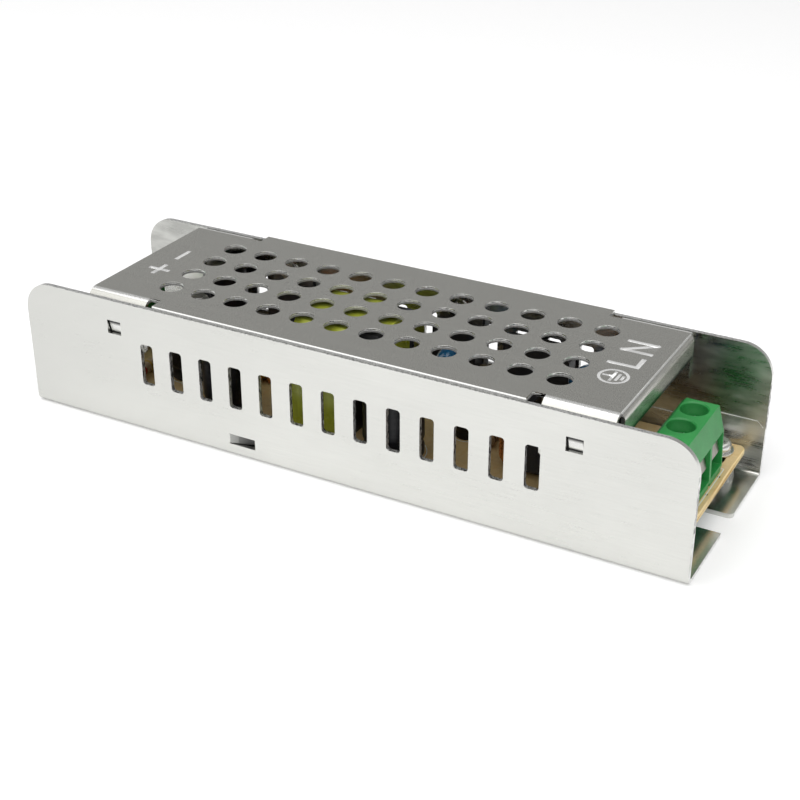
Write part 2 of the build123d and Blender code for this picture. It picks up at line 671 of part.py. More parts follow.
def electrolytic(name, diameter, height):
    """Sleeved can with a rolled groove near its foot and a rounded top."""
    radius = diameter / 2
    groove = height * 0.14
    dent = diameter * 0.03
    profile = make_face(Polyline(
        (0, 0),
        (radius - dent, 0),
        (radius, dent),
        (radius, groove - 2 * dent),
        (radius - dent, groove),
        (radius, groove + 2 * dent),
        (radius, height - 2 * dent),
        (radius - dent, height - dent / 2),
        (radius - 2 * dent, height),
        (radius - 4 * dent, height - dent),
        (0, height - dent),
        close=True,
    ))
    can = revolve(Plane.XZ * profile, Axis.Z)
    return joined([can] + leads(name, 0.0))


def coated_disc(name, diameter, thickness, stand_off):
    """Dipped disc standing on two coated leads."""
    disc = Rot(90, 0, 0) * Cylinder(diameter / 2, thickness)
    disc = chamfer(disc.edges(), thickness * 0.3)
    centre = stand_off + diameter / 2
    return joined([Pos(0, 0, centre) * disc] + leads(name, centre))


def film_capacitor(name, length, width, height):
    """Moulded box capacitor on four small feet."""
    box = Pos(0, 0, height / 2) * Box(length, width, height)
    box = fillet(box.edges().filter_by(Axis.Z), 0.6)
    relief = Box(length - 3, width + 1, 0.8)
    return joined([box - relief] + leads(name, 0.6))


def axial_part(name, diameter, length, height):
    """Cylindrical part lying over the board on its two bent leads."""
    _, _, _, places = COMPONENTS[name]
    reach = places[1][0]
    low = LEAD_END - BOARD_TOP
    path = FilletPolyline((-reach, 0, low), (-reach, 0, height), (reach, 0, height), (reach, 0, low),
                          radius=3 * LEAD_RADIUS)
    start = Plane(origin=(-reach, 0, low), z_dir=(0, 0, 1))
    wire = sweep(start * Circle(LEAD_RADIUS), path=path)
    body = Rot(0, 90, 0) * Cylinder(diameter / 2, length)
    body = chamfer(body.edges(), diameter * 0.16)
    return wire + Pos(0, 0, height) * body


def bridge_rectifier():
    """Flat four-lead bridge with one bevelled corner."""
    outline = Pos(0, BRIDGE_STAND_OFF + BRIDGE_HEIGHT / 2) * Rectangle(BRIDGE_LENGTH, BRIDGE_HEIGHT)
    corner = outline.vertices().sort_by(Axis.Y)[-2:].sort_by(Axis.X)[-1]
    body = along_y(chamfer(corner, 2.4), BRIDGE_THICKNESS)
    return joined([body] + leads("bridge_rectifier", BRIDGE_STAND_OFF + 1.0))


def power_device():
    """Three-lead power device, the back of its tab at y = 0."""
    half = DEVICE_WIDTH / 2
    low = DEVICE_STAND_OFF
    tab = block(-half, half, -DEVICE_TAB, 0, low, low + DEVICE_TAB_HEIGHT)
    tab = tab - Pos(0, 0, DEVICE_HOLE_Z) * Rot(90, 0, 0) * Cylinder(DEVICE_HOLE_RADIUS, 4 * DEVICE_TAB)
    side = make_face(Polyline(
        (-DEVICE_TAB / 2, low),
        (-DEVICE_TAB / 2, low + DEVICE_BODY_HEIGHT),
        (-DEVICE_BODY + 0.5, low + DEVICE_BODY_HEIGHT),
        (-DEVICE_BODY, low + DEVICE_BODY_HEIGHT - 0.8),
        (-DEVICE_BODY, low),
        close=True,
    ))
    body = along_x(side, DEVICE_WIDTH)
    lead_y = -DEVICE_BODY / 2
    pins = [post(x, lead_y, LEAD_END - BOARD_TOP, low, LEAD_RADIUS) for x in row(3, DEVICE_LEAD_PITCH)]
    return joined([tab, body] + pins)


def device_lead_places():
    """Places of the leads of the two power devices."""
    y = DEVICE_BACK_Y - DEVICE_BODY / 2
    return [(x + step, y) for x in (TRANSISTOR_X, DIODE_X) for step in row(3, DEVICE_LEAD_PITCH)]


def device_pads():
    """Insulating pads between the devices and the wall."""
    half = DEVICE_WIDTH / 2 + PAD_MARGIN
    low = BOARD_TOP + DEVICE_STAND_OFF - PAD_MARGIN / 2
    high = BOARD_TOP + DEVICE_STAND_OFF + DEVICE_TAB_HEIGHT + PAD_MARGIN / 2
    pads = []
    for x in (TRANSISTOR_X, DIODE_X):
        pad = block(x - half, x + half, DEVICE_BACK_Y, WALL_INSIDE, low, high)
        hole = Rot(90, 0, 0) * Cylinder(DEVICE_HOLE_RADIUS, 8 * PAD)
        pads.append(pad - Pos(x, WALL_INSIDE, BOARD_TOP + DEVICE_HOLE_Z) * hole)
    return Compound(children=pads)


def device_screws():
    """Screws that hold the devices to the far wall."""
    length = DEVICE_TAB + PAD + SHEET
    screw = Rot(90, 0, 0) * pan_screw(length, PAN_HEAD_RADIUS, PAN_HEAD_HEIGHT)
    y = DEVICE_BACK_Y - DEVICE_TAB
    places = [Pos(x, y, BOARD_TOP + DEVICE_HOLE_Z) * screw for x in (TRANSISTOR_X, DIODE_X)]
    return Compound(children=places)


def dual_in_line(pairs):
    """Moulded chip with bent leads along both long sides."""
    length = pairs * 2.54 - 0.5
    body = Pos(0, 0, 2.2) * Box(length, 6.4, 3.4)
    notch = Pos(-length / 2, 0, 3.9) * Cylinder(0.8, 1.2)
    parts = [body - notch]
    for x in row(pairs, 2.54):
        for side in (-1, 1):
            parts.append(Pos(x, side * 3.5, 2.0) * Box(1.2, 0.9, 0.3))
            parts.append(Pos(x, side * 3.8, 1.075) * Box(1.2, 0.3, 2.15))
    return joined(parts)


def toroid_core(outer, inner, height):
    """Coated ring core, lying flat."""
    middle = (outer + inner) / 2
    section = Rectangle(outer - inner, height)
    section = Pos(middle, 0) * chamfer(section.vertices(), (outer - inner) * 0.12)
    return revolve(Plane.XZ * section, Axis.Z)


def toroid_turns(outer, inner, height, wire, angles):
    """Turns of round-cornered wire about a ring core, touching along the bore."""
    bore = math.sqrt(inner ** 2 - (wire / 2) ** 2)
    window = Rectangle(outer - bore, height)
    frame = Rectangle(outer - bore + 2 * wire, height + 2 * wire)
    loop = fillet(frame.vertices(), wire) - window
    turn = Pos((outer + bore) / 2, 0, 0) * along_y(loop, wire)
    return joined([Rot(0, 0, angle) * turn for angle in angles])


def choke_windings():
    """The two separate windings of the choke, each with a lead."""
    wires = []
    lift = CHOKE_HEIGHT / 2 + TOROID_WIRE
    for middle in (0.0, 180.0):
        angles = [middle + step for step in row(8, TURN_STEP)]
        angles = [angle + TURN_STEP / 2 for angle in angles]
        turns = Pos(0, 0, lift) * toroid_turns(
            CHOKE_OUTER, CHOKE_INNER, CHOKE_HEIGHT, TOROID_WIRE, angles)
        side = 1 if middle == 0.0 else -1
        lead = post(side * (CHOKE_OUTER + TOROID_WIRE / 2), 0, LEAD_END - BOARD_TOP, lift, LEAD_RADIUS)
        wires.append(at_component("choke", turns + lead))
    return Compound(children=wires)


def output_inductor_winding():
    """The winding of the output inductor with its two leads."""
    lift = INDUCTOR_HEIGHT / 2 + TOROID_WIRE
    angles = [step + 180.0 for step in row(INDUCTOR_TURNS, TURN_STEP)]
    turns = Pos(0, 0, lift) * toroid_turns(
        INDUCTOR_OUTER, INDUCTOR_INNER, INDUCTOR_HEIGHT, TOROID_WIRE, angles)
    places = (INDUCTOR_LEAD_Y, -INDUCTOR_LEAD_Y)
    wires = [post(INDUCTOR_LEAD_X, y, LEAD_END - BOARD_TOP, lift, LEAD_RADIUS) for y in places]
    return at_component("output_inductor", joined([turns] + wires))


# Transformer: the local frame has the board at z = 0 and the winding along X

def core_half():
    """E-shaped ferrite half standing on edge, its mating faces at x = 0."""
    centre = CORE_CENTRE_LEG / 2
    outer = CORE_HEIGHT / 2
    window_end = CORE_LENGTH / 2 - CORE_BACK
    outline = make_face(Polyline(
        (0, -outer),
        (CORE_LENGTH / 2, -outer),
        (CORE_LENGTH / 2, outer),
        (0, outer),
        (0, outer - CORE_LEG),
        (window_end, outer - CORE_LEG),
        (window_end, centre),
        (0, centre),
        (0, -centre),
        (window_end, -centre),
        (window_end, -outer + CORE_LEG),
        (0, -outer + CORE_LEG),
        close=True,
    ))
    return Pos(0, 0, WINDING_AXIS_Z) * along_y(outline, CORE_THICKNESS)


def bobbin_window():
    """Half length of the bobbin and half height of its flanges inside the core."""
    half_length = CORE_LENGTH / 2 - CORE_BACK - BOBBIN_CLEARANCE
    half_height = CORE_HEIGHT / 2 - CORE_LEG - BOBBIN_CLEARANCE
    return half_length, half_height


def bobbin_pin_places():
    """Places of the bobbin's pins on the board, on both sides of the core's lower leg."""
    half_length, _ = bobbin_window()
    x = half_length - BOBBIN_FLANGE / 2
    inner = WINDING_HALF_WIDTH - 1.4 * BOBBIN_PIN_STEP
    steps = [side * (inner + step) for side in (-1, 1) for step in (0.0, BOBBIN_PIN_STEP)]
    return [(TRANSFORMER_X + side * x, TRANSFORMER_Y + y) for side in (-1, 1) for y in steps]


def tube_halves():
    """Outer half width and half height of the bobbin's tube."""
    half_width = CORE_THICKNESS / 2 + BOBBIN_CLEARANCE + BOBBIN_WALL
    half_height = CORE_CENTRE_LEG / 2 + BOBBIN_CLEARANCE + BOBBIN_WALL
    return half_width, half_height


def transformer_bobbin():
    """Bobbin tube with two flanges that stand on the board astride the core, and its pins."""
    half_length, half_height = bobbin_window()
    tube_y, tube_z = tube_halves()
    outside = Pos(0, WINDING_AXIS_Z) * Rectangle(2 * tube_y, 2 * tube_z)
    tube = along_x(outside, 2 * half_length)
    top = WINDING_AXIS_Z + half_height
    flange = Pos(0, top / 2) * Rectangle(2 * (WINDING_HALF_WIDTH + BOBBIN_RIM), top)
    flange = fillet(flange.vertices().group_by(Axis.Y)[-1], WINDING_CORNER)
    leg_way = WINDING_AXIS_Z - half_height
    flange = flange - Pos(0, leg_way / 2) * Rectangle(CORE_THICKNESS + 2 * BOBBIN_CLEARANCE, leg_way)
    plate = along_x(flange, BOBBIN_FLANGE)
    step = half_length - BOBBIN_FLANGE / 2
    shape = tube + Pos(step, 0, 0) * plate + Pos(-step, 0, 0) * plate
    bore = Pos(0, WINDING_AXIS_Z) * Rectangle(
        2 * (tube_y - BOBBIN_WALL), 2 * (tube_z - BOBBIN_WALL))
    shape = shape - along_x(bore, 3 * half_length)
    pins = [post(x - TRANSFORMER_X, y - TRANSFORMER_Y, LEAD_END - BOARD_TOP, 0, LEAD_RADIUS)
            for x, y in bobbin_pin_places()]
    return joined([shape] + pins)


def transformer_winding():
    """Taped winding that fills the bobbin between its flanges."""
    half_length, half_height = bobbin_window()
    tube_y, tube_z = tube_halves()
    outline = Rectangle(2 * WINDING_HALF_WIDTH, 2 * (half_height - BOBBIN_RIM))
    outline = fillet(outline.vertices(), WINDING_CORNER)
    section = Pos(0, WINDING_AXIS_Z) * (outline - Rectangle(2 * tube_y, 2 * tube_z))
    return along_x(section, 2 * (half_length - BOBBIN_FLANGE))


def at_transformer(shape):
    """Transformer part moved to its place on the board."""
    return Pos(TRANSFORMER_X, TRANSFORMER_Y, BOARD_TOP) * shape


def resistors():
    """The three axial resistors."""
    names = ("start_resistor", "sense_resistor", "load_resistor")
    parts = [at_component(name, axial_part(name, RESISTOR_DIAMETER, RESISTOR_LENGTH, 1.6))
             for name in names]
    return Compound(children=parts)


def terminal_contacts(poles, place):
    """Contacts of one terminal block."""
    return Compound(children=[place(terminal_contact(), pole) for pole in row(poles, PITCH)])


def all_nodes():
    """Every node of the part by name."""
    choke = toroid_core(CHOKE_OUTER, CHOKE_INNER, CHOKE_HEIGHT)
    inductor = toroid_core(INDUCTOR_OUTER, INDUCTOR_INNER, INDUCTOR_HEIGHT)
    device = power_device()
    nodes = {
        "chassis": chassis(),
        "cover": cover(),
        "insulation_film": insulation_film(),
        "circuit_board": circuit_board(),
        "board_screws": board_screws(),
        "board_washers": board_washers(),
        "input_terminal_housing": at_input(terminal_housing(INPUT_POLES)),
        "input_terminal_contacts": terminal_contacts(INPUT_POLES, at_input),
        "output_terminal_housing": at_output(terminal_housing(OUTPUT_POLES)),
        "output_terminal_contacts": terminal_contacts(OUTPUT_POLES, at_output),
        "input_fuse": at_component(
            "input_fuse", axial_part("input_fuse", FUSE_DIAMETER, FUSE_LENGTH, 2.1)),
        "thermistor": at_component(
            "thermistor", coated_disc("thermistor", THERMISTOR_DIAMETER, THERMISTOR_THICKNESS, 1.6)),
        "x_capacitor": at_component("x_capacitor", film_capacitor(
            "x_capacitor", X_CAPACITOR_LENGTH, X_CAPACITOR_WIDTH, X_CAPACITOR_HEIGHT)),
        "varistor": at_component(
            "varistor", coated_disc("varistor", VARISTOR_DIAMETER, VARISTOR_THICKNESS, 2.2)),
        "choke_core": at_component("choke", Pos(0, 0, CHOKE_HEIGHT / 2 + TOROID_WIRE) * choke),
        "choke_windings": choke_windings(),
        "bridge_rectifier": at_component("bridge_rectifier", bridge_rectifier()),
        "bulk_capacitor": at_component(
            "bulk_capacitor", electrolytic("bulk_capacitor", BULK_DIAMETER, BULK_HEIGHT)),
        "supply_capacitor": at_component(
            "supply_capacitor", electrolytic("supply_capacitor", SUPPLY_DIAMETER, SUPPLY_HEIGHT)),
        "y_capacitor": at_component(
            "y_capacitor", coated_disc("y_capacitor", Y_CAPACITOR_DIAMETER, Y_CAPACITOR_THICKNESS, 3.0)),
        "controller_chip": at_component("controller_chip", dual_in_line(4)),
        "optocoupler": at_component("optocoupler", dual_in_line(2)),
        "power_transistor": Pos(TRANSISTOR_X, DEVICE_BACK_Y, BOARD_TOP) * device,
        "output_diode": Pos(DIODE_X, DEVICE_BACK_Y, BOARD_TOP) * device,
        "device_pads": device_pads(),
        "device_screws": device_screws(),
        "transformer_core_right": at_transformer(core_half()),
        "transformer_core_left": at_transformer(Rot(0, 0, 180) * core_half()),
        "transformer_bobbin": at_transformer(transformer_bobbin()),
        "transformer_winding": at_transformer(transformer_winding()),
        "output_inductor_core": at_component(
            "output_inductor", Pos(0, 0, INDUCTOR_HEIGHT / 2 + TOROID_WIRE) * inductor),
        "output_inductor_winding": output_inductor_winding(),
        "resistors": resistors(),
    }
    for index in (1, 2, 3):
        name = f"output_capacitor_{index}"
        nodes[name] = at_component(name, electrolytic(name, OUTPUT_DIAMETER, OUTPUT_HEIGHT))
    for index, pole in enumerate(row(INPUT_POLES, PITCH), start=1):
        nodes[f"input_cage_{index}"] = at_input(terminal_cage(), pole)
        nodes[f"input_screw_{index}"] = at_input(terminal_screw(), pole)
    for index, pole in enumerate(row(OUTPUT_POLES, PITCH), start=1):
        nodes[f"output_cage_{index}"] = at_output(terminal_cage(), pole)
        nodes[f"output_screw_{index}"] = at_output(terminal_screw(), pole)
    return nodes


os.makedirs("parts", exist_ok=True)
for node, shape in all_nodes().items():
    export_step(shape, f"parts/{node}.step")
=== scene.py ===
import json
import logging
import math
from dataclasses import dataclass
from enum import Enum
from typing import Callable, Dict, List, Optional, Sequence, Tuple, Union

import bmesh
import bpy
from mathutils import Matrix, Vector


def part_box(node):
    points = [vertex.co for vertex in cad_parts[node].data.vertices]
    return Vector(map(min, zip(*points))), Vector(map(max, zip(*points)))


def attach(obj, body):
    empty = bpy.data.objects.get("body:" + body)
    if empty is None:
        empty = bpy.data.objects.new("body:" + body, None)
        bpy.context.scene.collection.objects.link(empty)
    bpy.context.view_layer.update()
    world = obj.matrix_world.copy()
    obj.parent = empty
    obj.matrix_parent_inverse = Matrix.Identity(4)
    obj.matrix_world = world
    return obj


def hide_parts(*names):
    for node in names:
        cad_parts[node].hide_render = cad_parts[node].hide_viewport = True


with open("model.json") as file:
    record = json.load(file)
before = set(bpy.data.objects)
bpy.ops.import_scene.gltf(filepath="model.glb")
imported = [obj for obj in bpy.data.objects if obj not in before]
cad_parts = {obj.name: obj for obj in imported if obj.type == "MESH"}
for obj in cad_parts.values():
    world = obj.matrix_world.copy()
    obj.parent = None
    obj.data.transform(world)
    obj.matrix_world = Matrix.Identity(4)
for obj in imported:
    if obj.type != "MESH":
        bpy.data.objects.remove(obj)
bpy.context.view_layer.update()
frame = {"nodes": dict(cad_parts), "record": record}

LOG = logging.getLogger("power_supply")
MM = 0.001
BOARD_UNDERSIDE = 5.0 * MM
BOARD_TOP = 6.6 * MM

Point = Tuple[float, float, float]
Colour = Tuple[float, float, float]
Value = Union[float, Sequence[float], bpy.types.NodeSocket]
Rule = Callable[[Vector, Vector], int]


class Axis(Enum):
    """The three axes of the shared frame."""

    X = 0
    Y = 1
    Z = 2

    def vector(self) -> Vector:
        """Unit vector of the axis."""
        return Vector([1.0 if index == self.value else 0.0 for index in range(3)])


class Blend(Enum):
    """Ways of laying one colour over another."""

    OVER = "MIX"
    MULTIPLY = "MULTIPLY"
    ADD = "ADD"


# Shader graphs

class Graph:
    """Small builder of one material's nodes, reading object coordinates in metres."""

    def __init__(self, name: str) -> None:
        """Starts a material with an empty Principled surface.

        Args:
            name: Name of the material.
        """
        self.material = bpy.data.materials.new(name)
        self.material.use_nodes = True
        self.tree = self.material.node_tree
        self.surface = self.tree.nodes["Principled BSDF"]
        self.place = self.tree.nodes.new("ShaderNodeTexCoord").outputs["Object"]

    def feed(self, socket: bpy.types.NodeSocket, value: Value) -> None:
        """Links a socket to another one, or sets its own value.

        Args:
            socket: The input to fill.
            value: An output socket, a number or a tuple.
        """
        if isinstance(value, bpy.types.NodeSocket):
            self.tree.links.new(value, socket)
        elif isinstance(value, (int, float)):
            socket.default_value = value
        else:
            numbers = list(value)
            size = len(socket.default_value)
            socket.default_value = (numbers + [1.0])[:size] if len(numbers) < size else numbers

    def node(self, kind: str, **settings: object) -> bpy.types.Node:
        """Adds a node.

        Args:
            kind: Type of the node, without its ShaderNode prefix.
            **settings: Properties of the node.

        Returns:
            The new node.
        """
        made = self.tree.nodes.new("ShaderNode" + kind)
        for key, setting in settings.items():
            setattr(made, key, setting)
        return made

    def mapped(self, stretch: Point = (1.0, 1.0, 1.0), centre: Point = (0.0, 0.0, 0.0),
               turn: Point = (0.0, 0.0, 0.0)) -> bpy.types.NodeSocket:
        """Object coordinates, moved to a centre, turned and then stretched.

        Args:
            stretch: Scale on each axis.
            centre: Point that becomes the origin, in metres.
            turn: Angles about the axes, in radians.

        Returns:
            The mapped coordinates.
        """
        moved = self.node("Mapping")
        self.feed(moved.inputs["Vector"], self.place)
        self.feed(moved.inputs["Location"], [-value for value in centre])
        turned = self.node("Mapping")
        self.feed(turned.inputs["Vector"], moved.outputs[0])
        self.feed(turned.inputs["Rotation"], turn)
        scaled = self.node("Mapping")
        self.feed(scaled.inputs["Vector"], turned.outputs[0])
        self.feed(scaled.inputs["Scale"], stretch)
        return scaled.outputs[0]

    def noise(self, scale: float, detail: float = 3.0, roughness: float = 0.55,
              vector: Optional[bpy.types.NodeSocket] = None) -> bpy.types.NodeSocket:
        """Fractal noise.

        Args:
            scale: Features per metre.
            detail: Octaves.
            roughness: Strength of the finer octaves.
            vector: Coordinates, plain object coordinates by default.

        Returns:
            The noise's value.
        """
        made = self.node("TexNoise")
        self.feed(made.inputs["Vector"], vector or self.place)
        self.feed(made.inputs["Scale"], scale)
        self.feed(made.inputs["Detail"], detail)
        self.feed(made.inputs["Roughness"], roughness)
        return made.outputs[0]

    def cells(self, scale: float, vector: Optional[bpy.types.NodeSocket] = None,
              feature: str = "F1") -> bpy.types.NodeSocket:
        """Distance field of scattered cells.

        Args:
            scale: Cells per metre.
            vector: Coordinates, plain object coordinates by default.
            feature: Voronoi feature.

        Returns:
            The distance.
        """
        made = self.node("TexVoronoi", feature=feature)
        self.feed(made.inputs["Vector"], vector or self.place)
        self.feed(made.inputs["Scale"], scale)
        return made.outputs["Distance"]

    def maths(self, operation: str, first: Value, second: Value = 0.0) -> bpy.types.NodeSocket:
        """One arithmetic step.

        Args:
            operation: Name of the operation.
            first: First operand.
            second: Second operand.

        Returns:
            The result.
        """
        made = self.node("Math", operation=operation)
        self.feed(made.inputs[0], first)
        self.feed(made.inputs[1], second)
        return made.outputs[0]

    def product(self, *values: Value) -> bpy.types.NodeSocket:
        """Product of several values, such as masks.

        Args:
            *values: The factors, two or more.

        Returns:
            The product.
        """
        total = values[0]
        for value in values[1:]:
            total = self.maths("MULTIPLY", total, value)
        return total

    def spread(self, value: Value, low: float, high: float, start: float = 0.0,
               end: float = 1.0) -> bpy.types.NodeSocket:
        """Value mapped from one range to another and held there.

        Args:
            value: Value to map.
            low: Value that becomes start.
            high: Value that becomes end.
            start: Result at low.
            end: Result at high.

        Returns:
            The mapped value.
        """
        made = self.node("MapRange", clamp=True)
        for index, item in enumerate((value, low, high, start, end)):
            self.feed(made.inputs[index], item)
        return made.outputs[0]

    def mix(self, factor: Value, first: Value, second: Value,
            blend: Blend = Blend.OVER) -> bpy.types.NodeSocket:
        """Mix of two colours.

        Args:
            factor: Share of the second colour.
            first: First colour.
            second: Second colour.
            blend: Way of mixing.

        Returns:
            The mixed colour.
        """
        made = self.node("Mix", data_type="RGBA", blend_type=blend.value)
        self.feed(made.inputs[0], factor)
        self.feed(made.inputs[6], first)
        self.feed(made.inputs[7], second)
        return made.outputs[2]

    def axis(self, axis: Axis) -> bpy.types.NodeSocket:
        """One object coordinate, in metres.

        Args:
            axis: The axis to read.

        Returns:
            The coordinate.
        """
        made = self.node("SeparateXYZ")
        self.feed(made.inputs[0], self.place)
        return made.outputs[axis.value]

    def facing(self, axis: Axis) -> bpy.types.NodeSocket:
        """How far a face looks along an axis, either way, from 0 to 1.

        Args:
            axis: The axis.

        Returns:
            The share.
        """
        made = self.node("SeparateXYZ")
        self.feed(made.inputs[0], self.node("NewGeometry").outputs["True Normal"])
        return self.maths("ABSOLUTE", made.outputs[axis.value])

    def within(self, axis: Axis, low: float, high: float, mirrored: bool = False,
               soft: float = 0.05) -> bpy.types.NodeSocket:
        """Mask of a slab across an axis.

        Args:
            axis: The axis.
            low: Start of the slab, in millimetres.
            high: End of the slab, in millimetres.
            mirrored: Reads the distance from the middle instead of the coordinate.
            soft: Width of the mask's soft edges, in millimetres.

        Returns:
            1 inside the slab, 0 outside.
        """
        place = self.axis(axis)
        if mirrored:
            place = self.maths("ABSOLUTE", place)
        above = self.spread(place, (low - soft) * MM, low * MM)
        below = self.spread(place, high * MM, (high + soft) * MM, 1.0, 0.0)
        return self.product(above, below)

    def bump(self, height: Value, depth: float, strength: float = 1.0,
             under: Optional[bpy.types.NodeSocket] = None) -> bpy.types.NodeSocket:
        """Surface relief.

        Args:
            height: Height from 0 to 1.
            depth: Depth of the relief, in metres.
            strength: Strength of the relief.
            under: Relief to lay this one over.

        Returns:
            The bent normal.
        """
        made = self.node("Bump")
        self.feed(made.inputs["Height"], height)
        self.feed(made.inputs["Distance"], depth)
        self.feed(made.inputs["Strength"], strength)
        if under is not None:
            self.feed(made.inputs["Normal"], under)
        return made.outputs[0]

    def finish(self, **values: Value) -> bpy.types.Material:
        """Fills the Principled surface and hands the material over.

        Args:
            **values: Inputs of the surface, with underscores for spaces.

        Returns:
            The material.
        """
        for key, value in values.items():
            self.feed(self.surface.inputs[key.replace("_", " ")], value)
        return self.material


# Finishes

@dataclass(frozen=True)
class BrushedAluminium:
    """Soft aluminium sheet: grain along the case, chipped sheared edges; painted shade inside the walls, in
    the support ramps and toward the left end.

    The edges are given in metres, and what is masked by place in millimetres.
    """

    name: str
    colour: Colour
    shade: Colour
    grain_length: float = 0.03
    roughness: float = 0.2
    painted_shade_end: Tuple[float, float] = (-75.0 * MM, 0.0)
    top_edge: Tuple[float, float] = (28.93 * MM, 28.97 * MM)
    end_edge: Tuple[float, float] = (74.94 * MM, 74.98 * MM)
    ramp_depth: Tuple[float, float] = (21.0 * MM, 22.1 * MM)
    painted_shade_inner_wall: Tuple[float, float] = (-1.0, 21.6)
    ramp_along: Tuple[float, float] = (17.7, 24.1)
    ramp_across: Tuple[float, float] = (20.0, 22.12)
    ramp_up: Tuple[float, float] = (2.7, 5.0)
    slots_up: Tuple[float, float] = (11.2, 20.9)

    def material(self) -> bpy.types.Material:
        """Builds the material."""
        graph = Graph(self.name)
        grain = graph.noise(5200.0, 3.0, 0.6, graph.mapped((self.grain_length, 1.0, 1.0)))
        fine = graph.noise(14000.0, 2.0, 0.5, graph.mapped((0.12, 1.0, 1.0)))
        cloud = graph.noise(46.0, 3.0, 0.5, graph.mapped((0.6, 1.0, 1.4)))
        marks = graph.cells(420.0, graph.mapped((0.25, 1.0, 1.0), turn=(0.0, 0.12, 0.0)))
        tone = graph.mix(graph.spread(cloud, 0.35, 0.72), self.colour, self.shade)
        tone = graph.mix(graph.spread(grain, 0.3, 0.75, 0.0, 0.16), tone,
                         [value * 0.74 for value in self.shade])
        # Painted shade: the sheet grows darker toward its left end, where less light reaches it.
        tone = graph.mix(graph.spread(graph.axis(Axis.X), *self.painted_shade_end, 0.75, 0.0), tone,
                         [value * 0.9 for value in self.shade])
        rough = graph.spread(grain, 0.25, 0.75, self.roughness - 0.05, self.roughness + 0.07)
        rough = graph.maths("ADD", rough, graph.spread(cloud, 0.4, 0.8, 0.0, 0.05))
        torn = graph.noise(2600.0, 2.0, 0.7, graph.mapped((1.0, 1.0, 0.25)))
        top = graph.spread(graph.axis(Axis.Z), *self.top_edge)
        ends = graph.spread(graph.maths("ABSOLUTE", graph.axis(Axis.X)), *self.end_edge)
        cut = graph.maths("MAXIMUM", top, ends)
        chipped = graph.mix(graph.spread(torn, 0.5, 0.64), (0.86, 0.86, 0.84), (0.30, 0.31, 0.31))
        tone = graph.mix(cut, tone, chipped)
        relief = graph.bump(grain, 0.000022, 0.5)
        relief = graph.bump(fine, 0.000006, 0.4, relief)
        relief = graph.bump(graph.spread(marks, 0.0, 0.09), 0.000006, 0.25, relief)
        # Painted shade: the inner faces of the walls are darkened toward half the shade colour, in
        # blotches, as if in the case's shadow.
        blotch = graph.noise(140.0, 3.0, 0.6, graph.mapped((0.5, 1.0, 1.6)))
        inner = graph.product(graph.within(Axis.Y, *self.painted_shade_inner_wall, True),
                              graph.spread(graph.facing(Axis.Y), 0.5, 0.8))
        tone = graph.mix(graph.product(inner, graph.spread(blotch, 0.4, 0.62, 0.75, 0.0)), tone,
                         [value * 0.5 for value in self.shade])
        rough = graph.maths("ADD", rough,
                            graph.product(inner, graph.spread(blotch, 0.35, 0.65, 0.02, 0.16)))
        # Painted shade: the pressed support ramps are painted near black, darkest where they sink deepest
        # into the wall.
        ramp = graph.product(graph.within(Axis.Y, *self.ramp_across, True),
                             graph.product(graph.within(Axis.Z, *self.ramp_up),
                                           graph.within(Axis.X, *self.ramp_along, True)))
        deep = graph.spread(graph.maths("ABSOLUTE", graph.axis(Axis.Y)), *self.ramp_depth, 0.85, 0.45)
        tone = graph.mix(graph.product(ramp, deep), tone, (0.05, 0.05, 0.05))
        rough = graph.maths("ADD", rough, graph.product(ramp, 0.25))
        slots = graph.product(graph.spread(graph.facing(Axis.Y), 0.3, 0.6, 1.0, 0.0),
                              graph.within(Axis.Z, *self.slots_up))
        sheared = graph.mix(graph.spread(torn, 0.44, 0.6), (0.80, 0.80, 0.78), (0.12, 0.12, 0.12))
        tone = graph.mix(slots, tone, sheared)
        rough = graph.maths("ADD", rough, graph.product(slots, 0.35))
        torn_relief = graph.product(graph.maths("MAXIMUM", cut, slots), torn)
        relief = graph.bump(torn_relief, 0.00008, 0.8, relief)
        return graph.finish(Base_Color=tone, Metallic=1.0, Roughness=rough, Normal=relief)


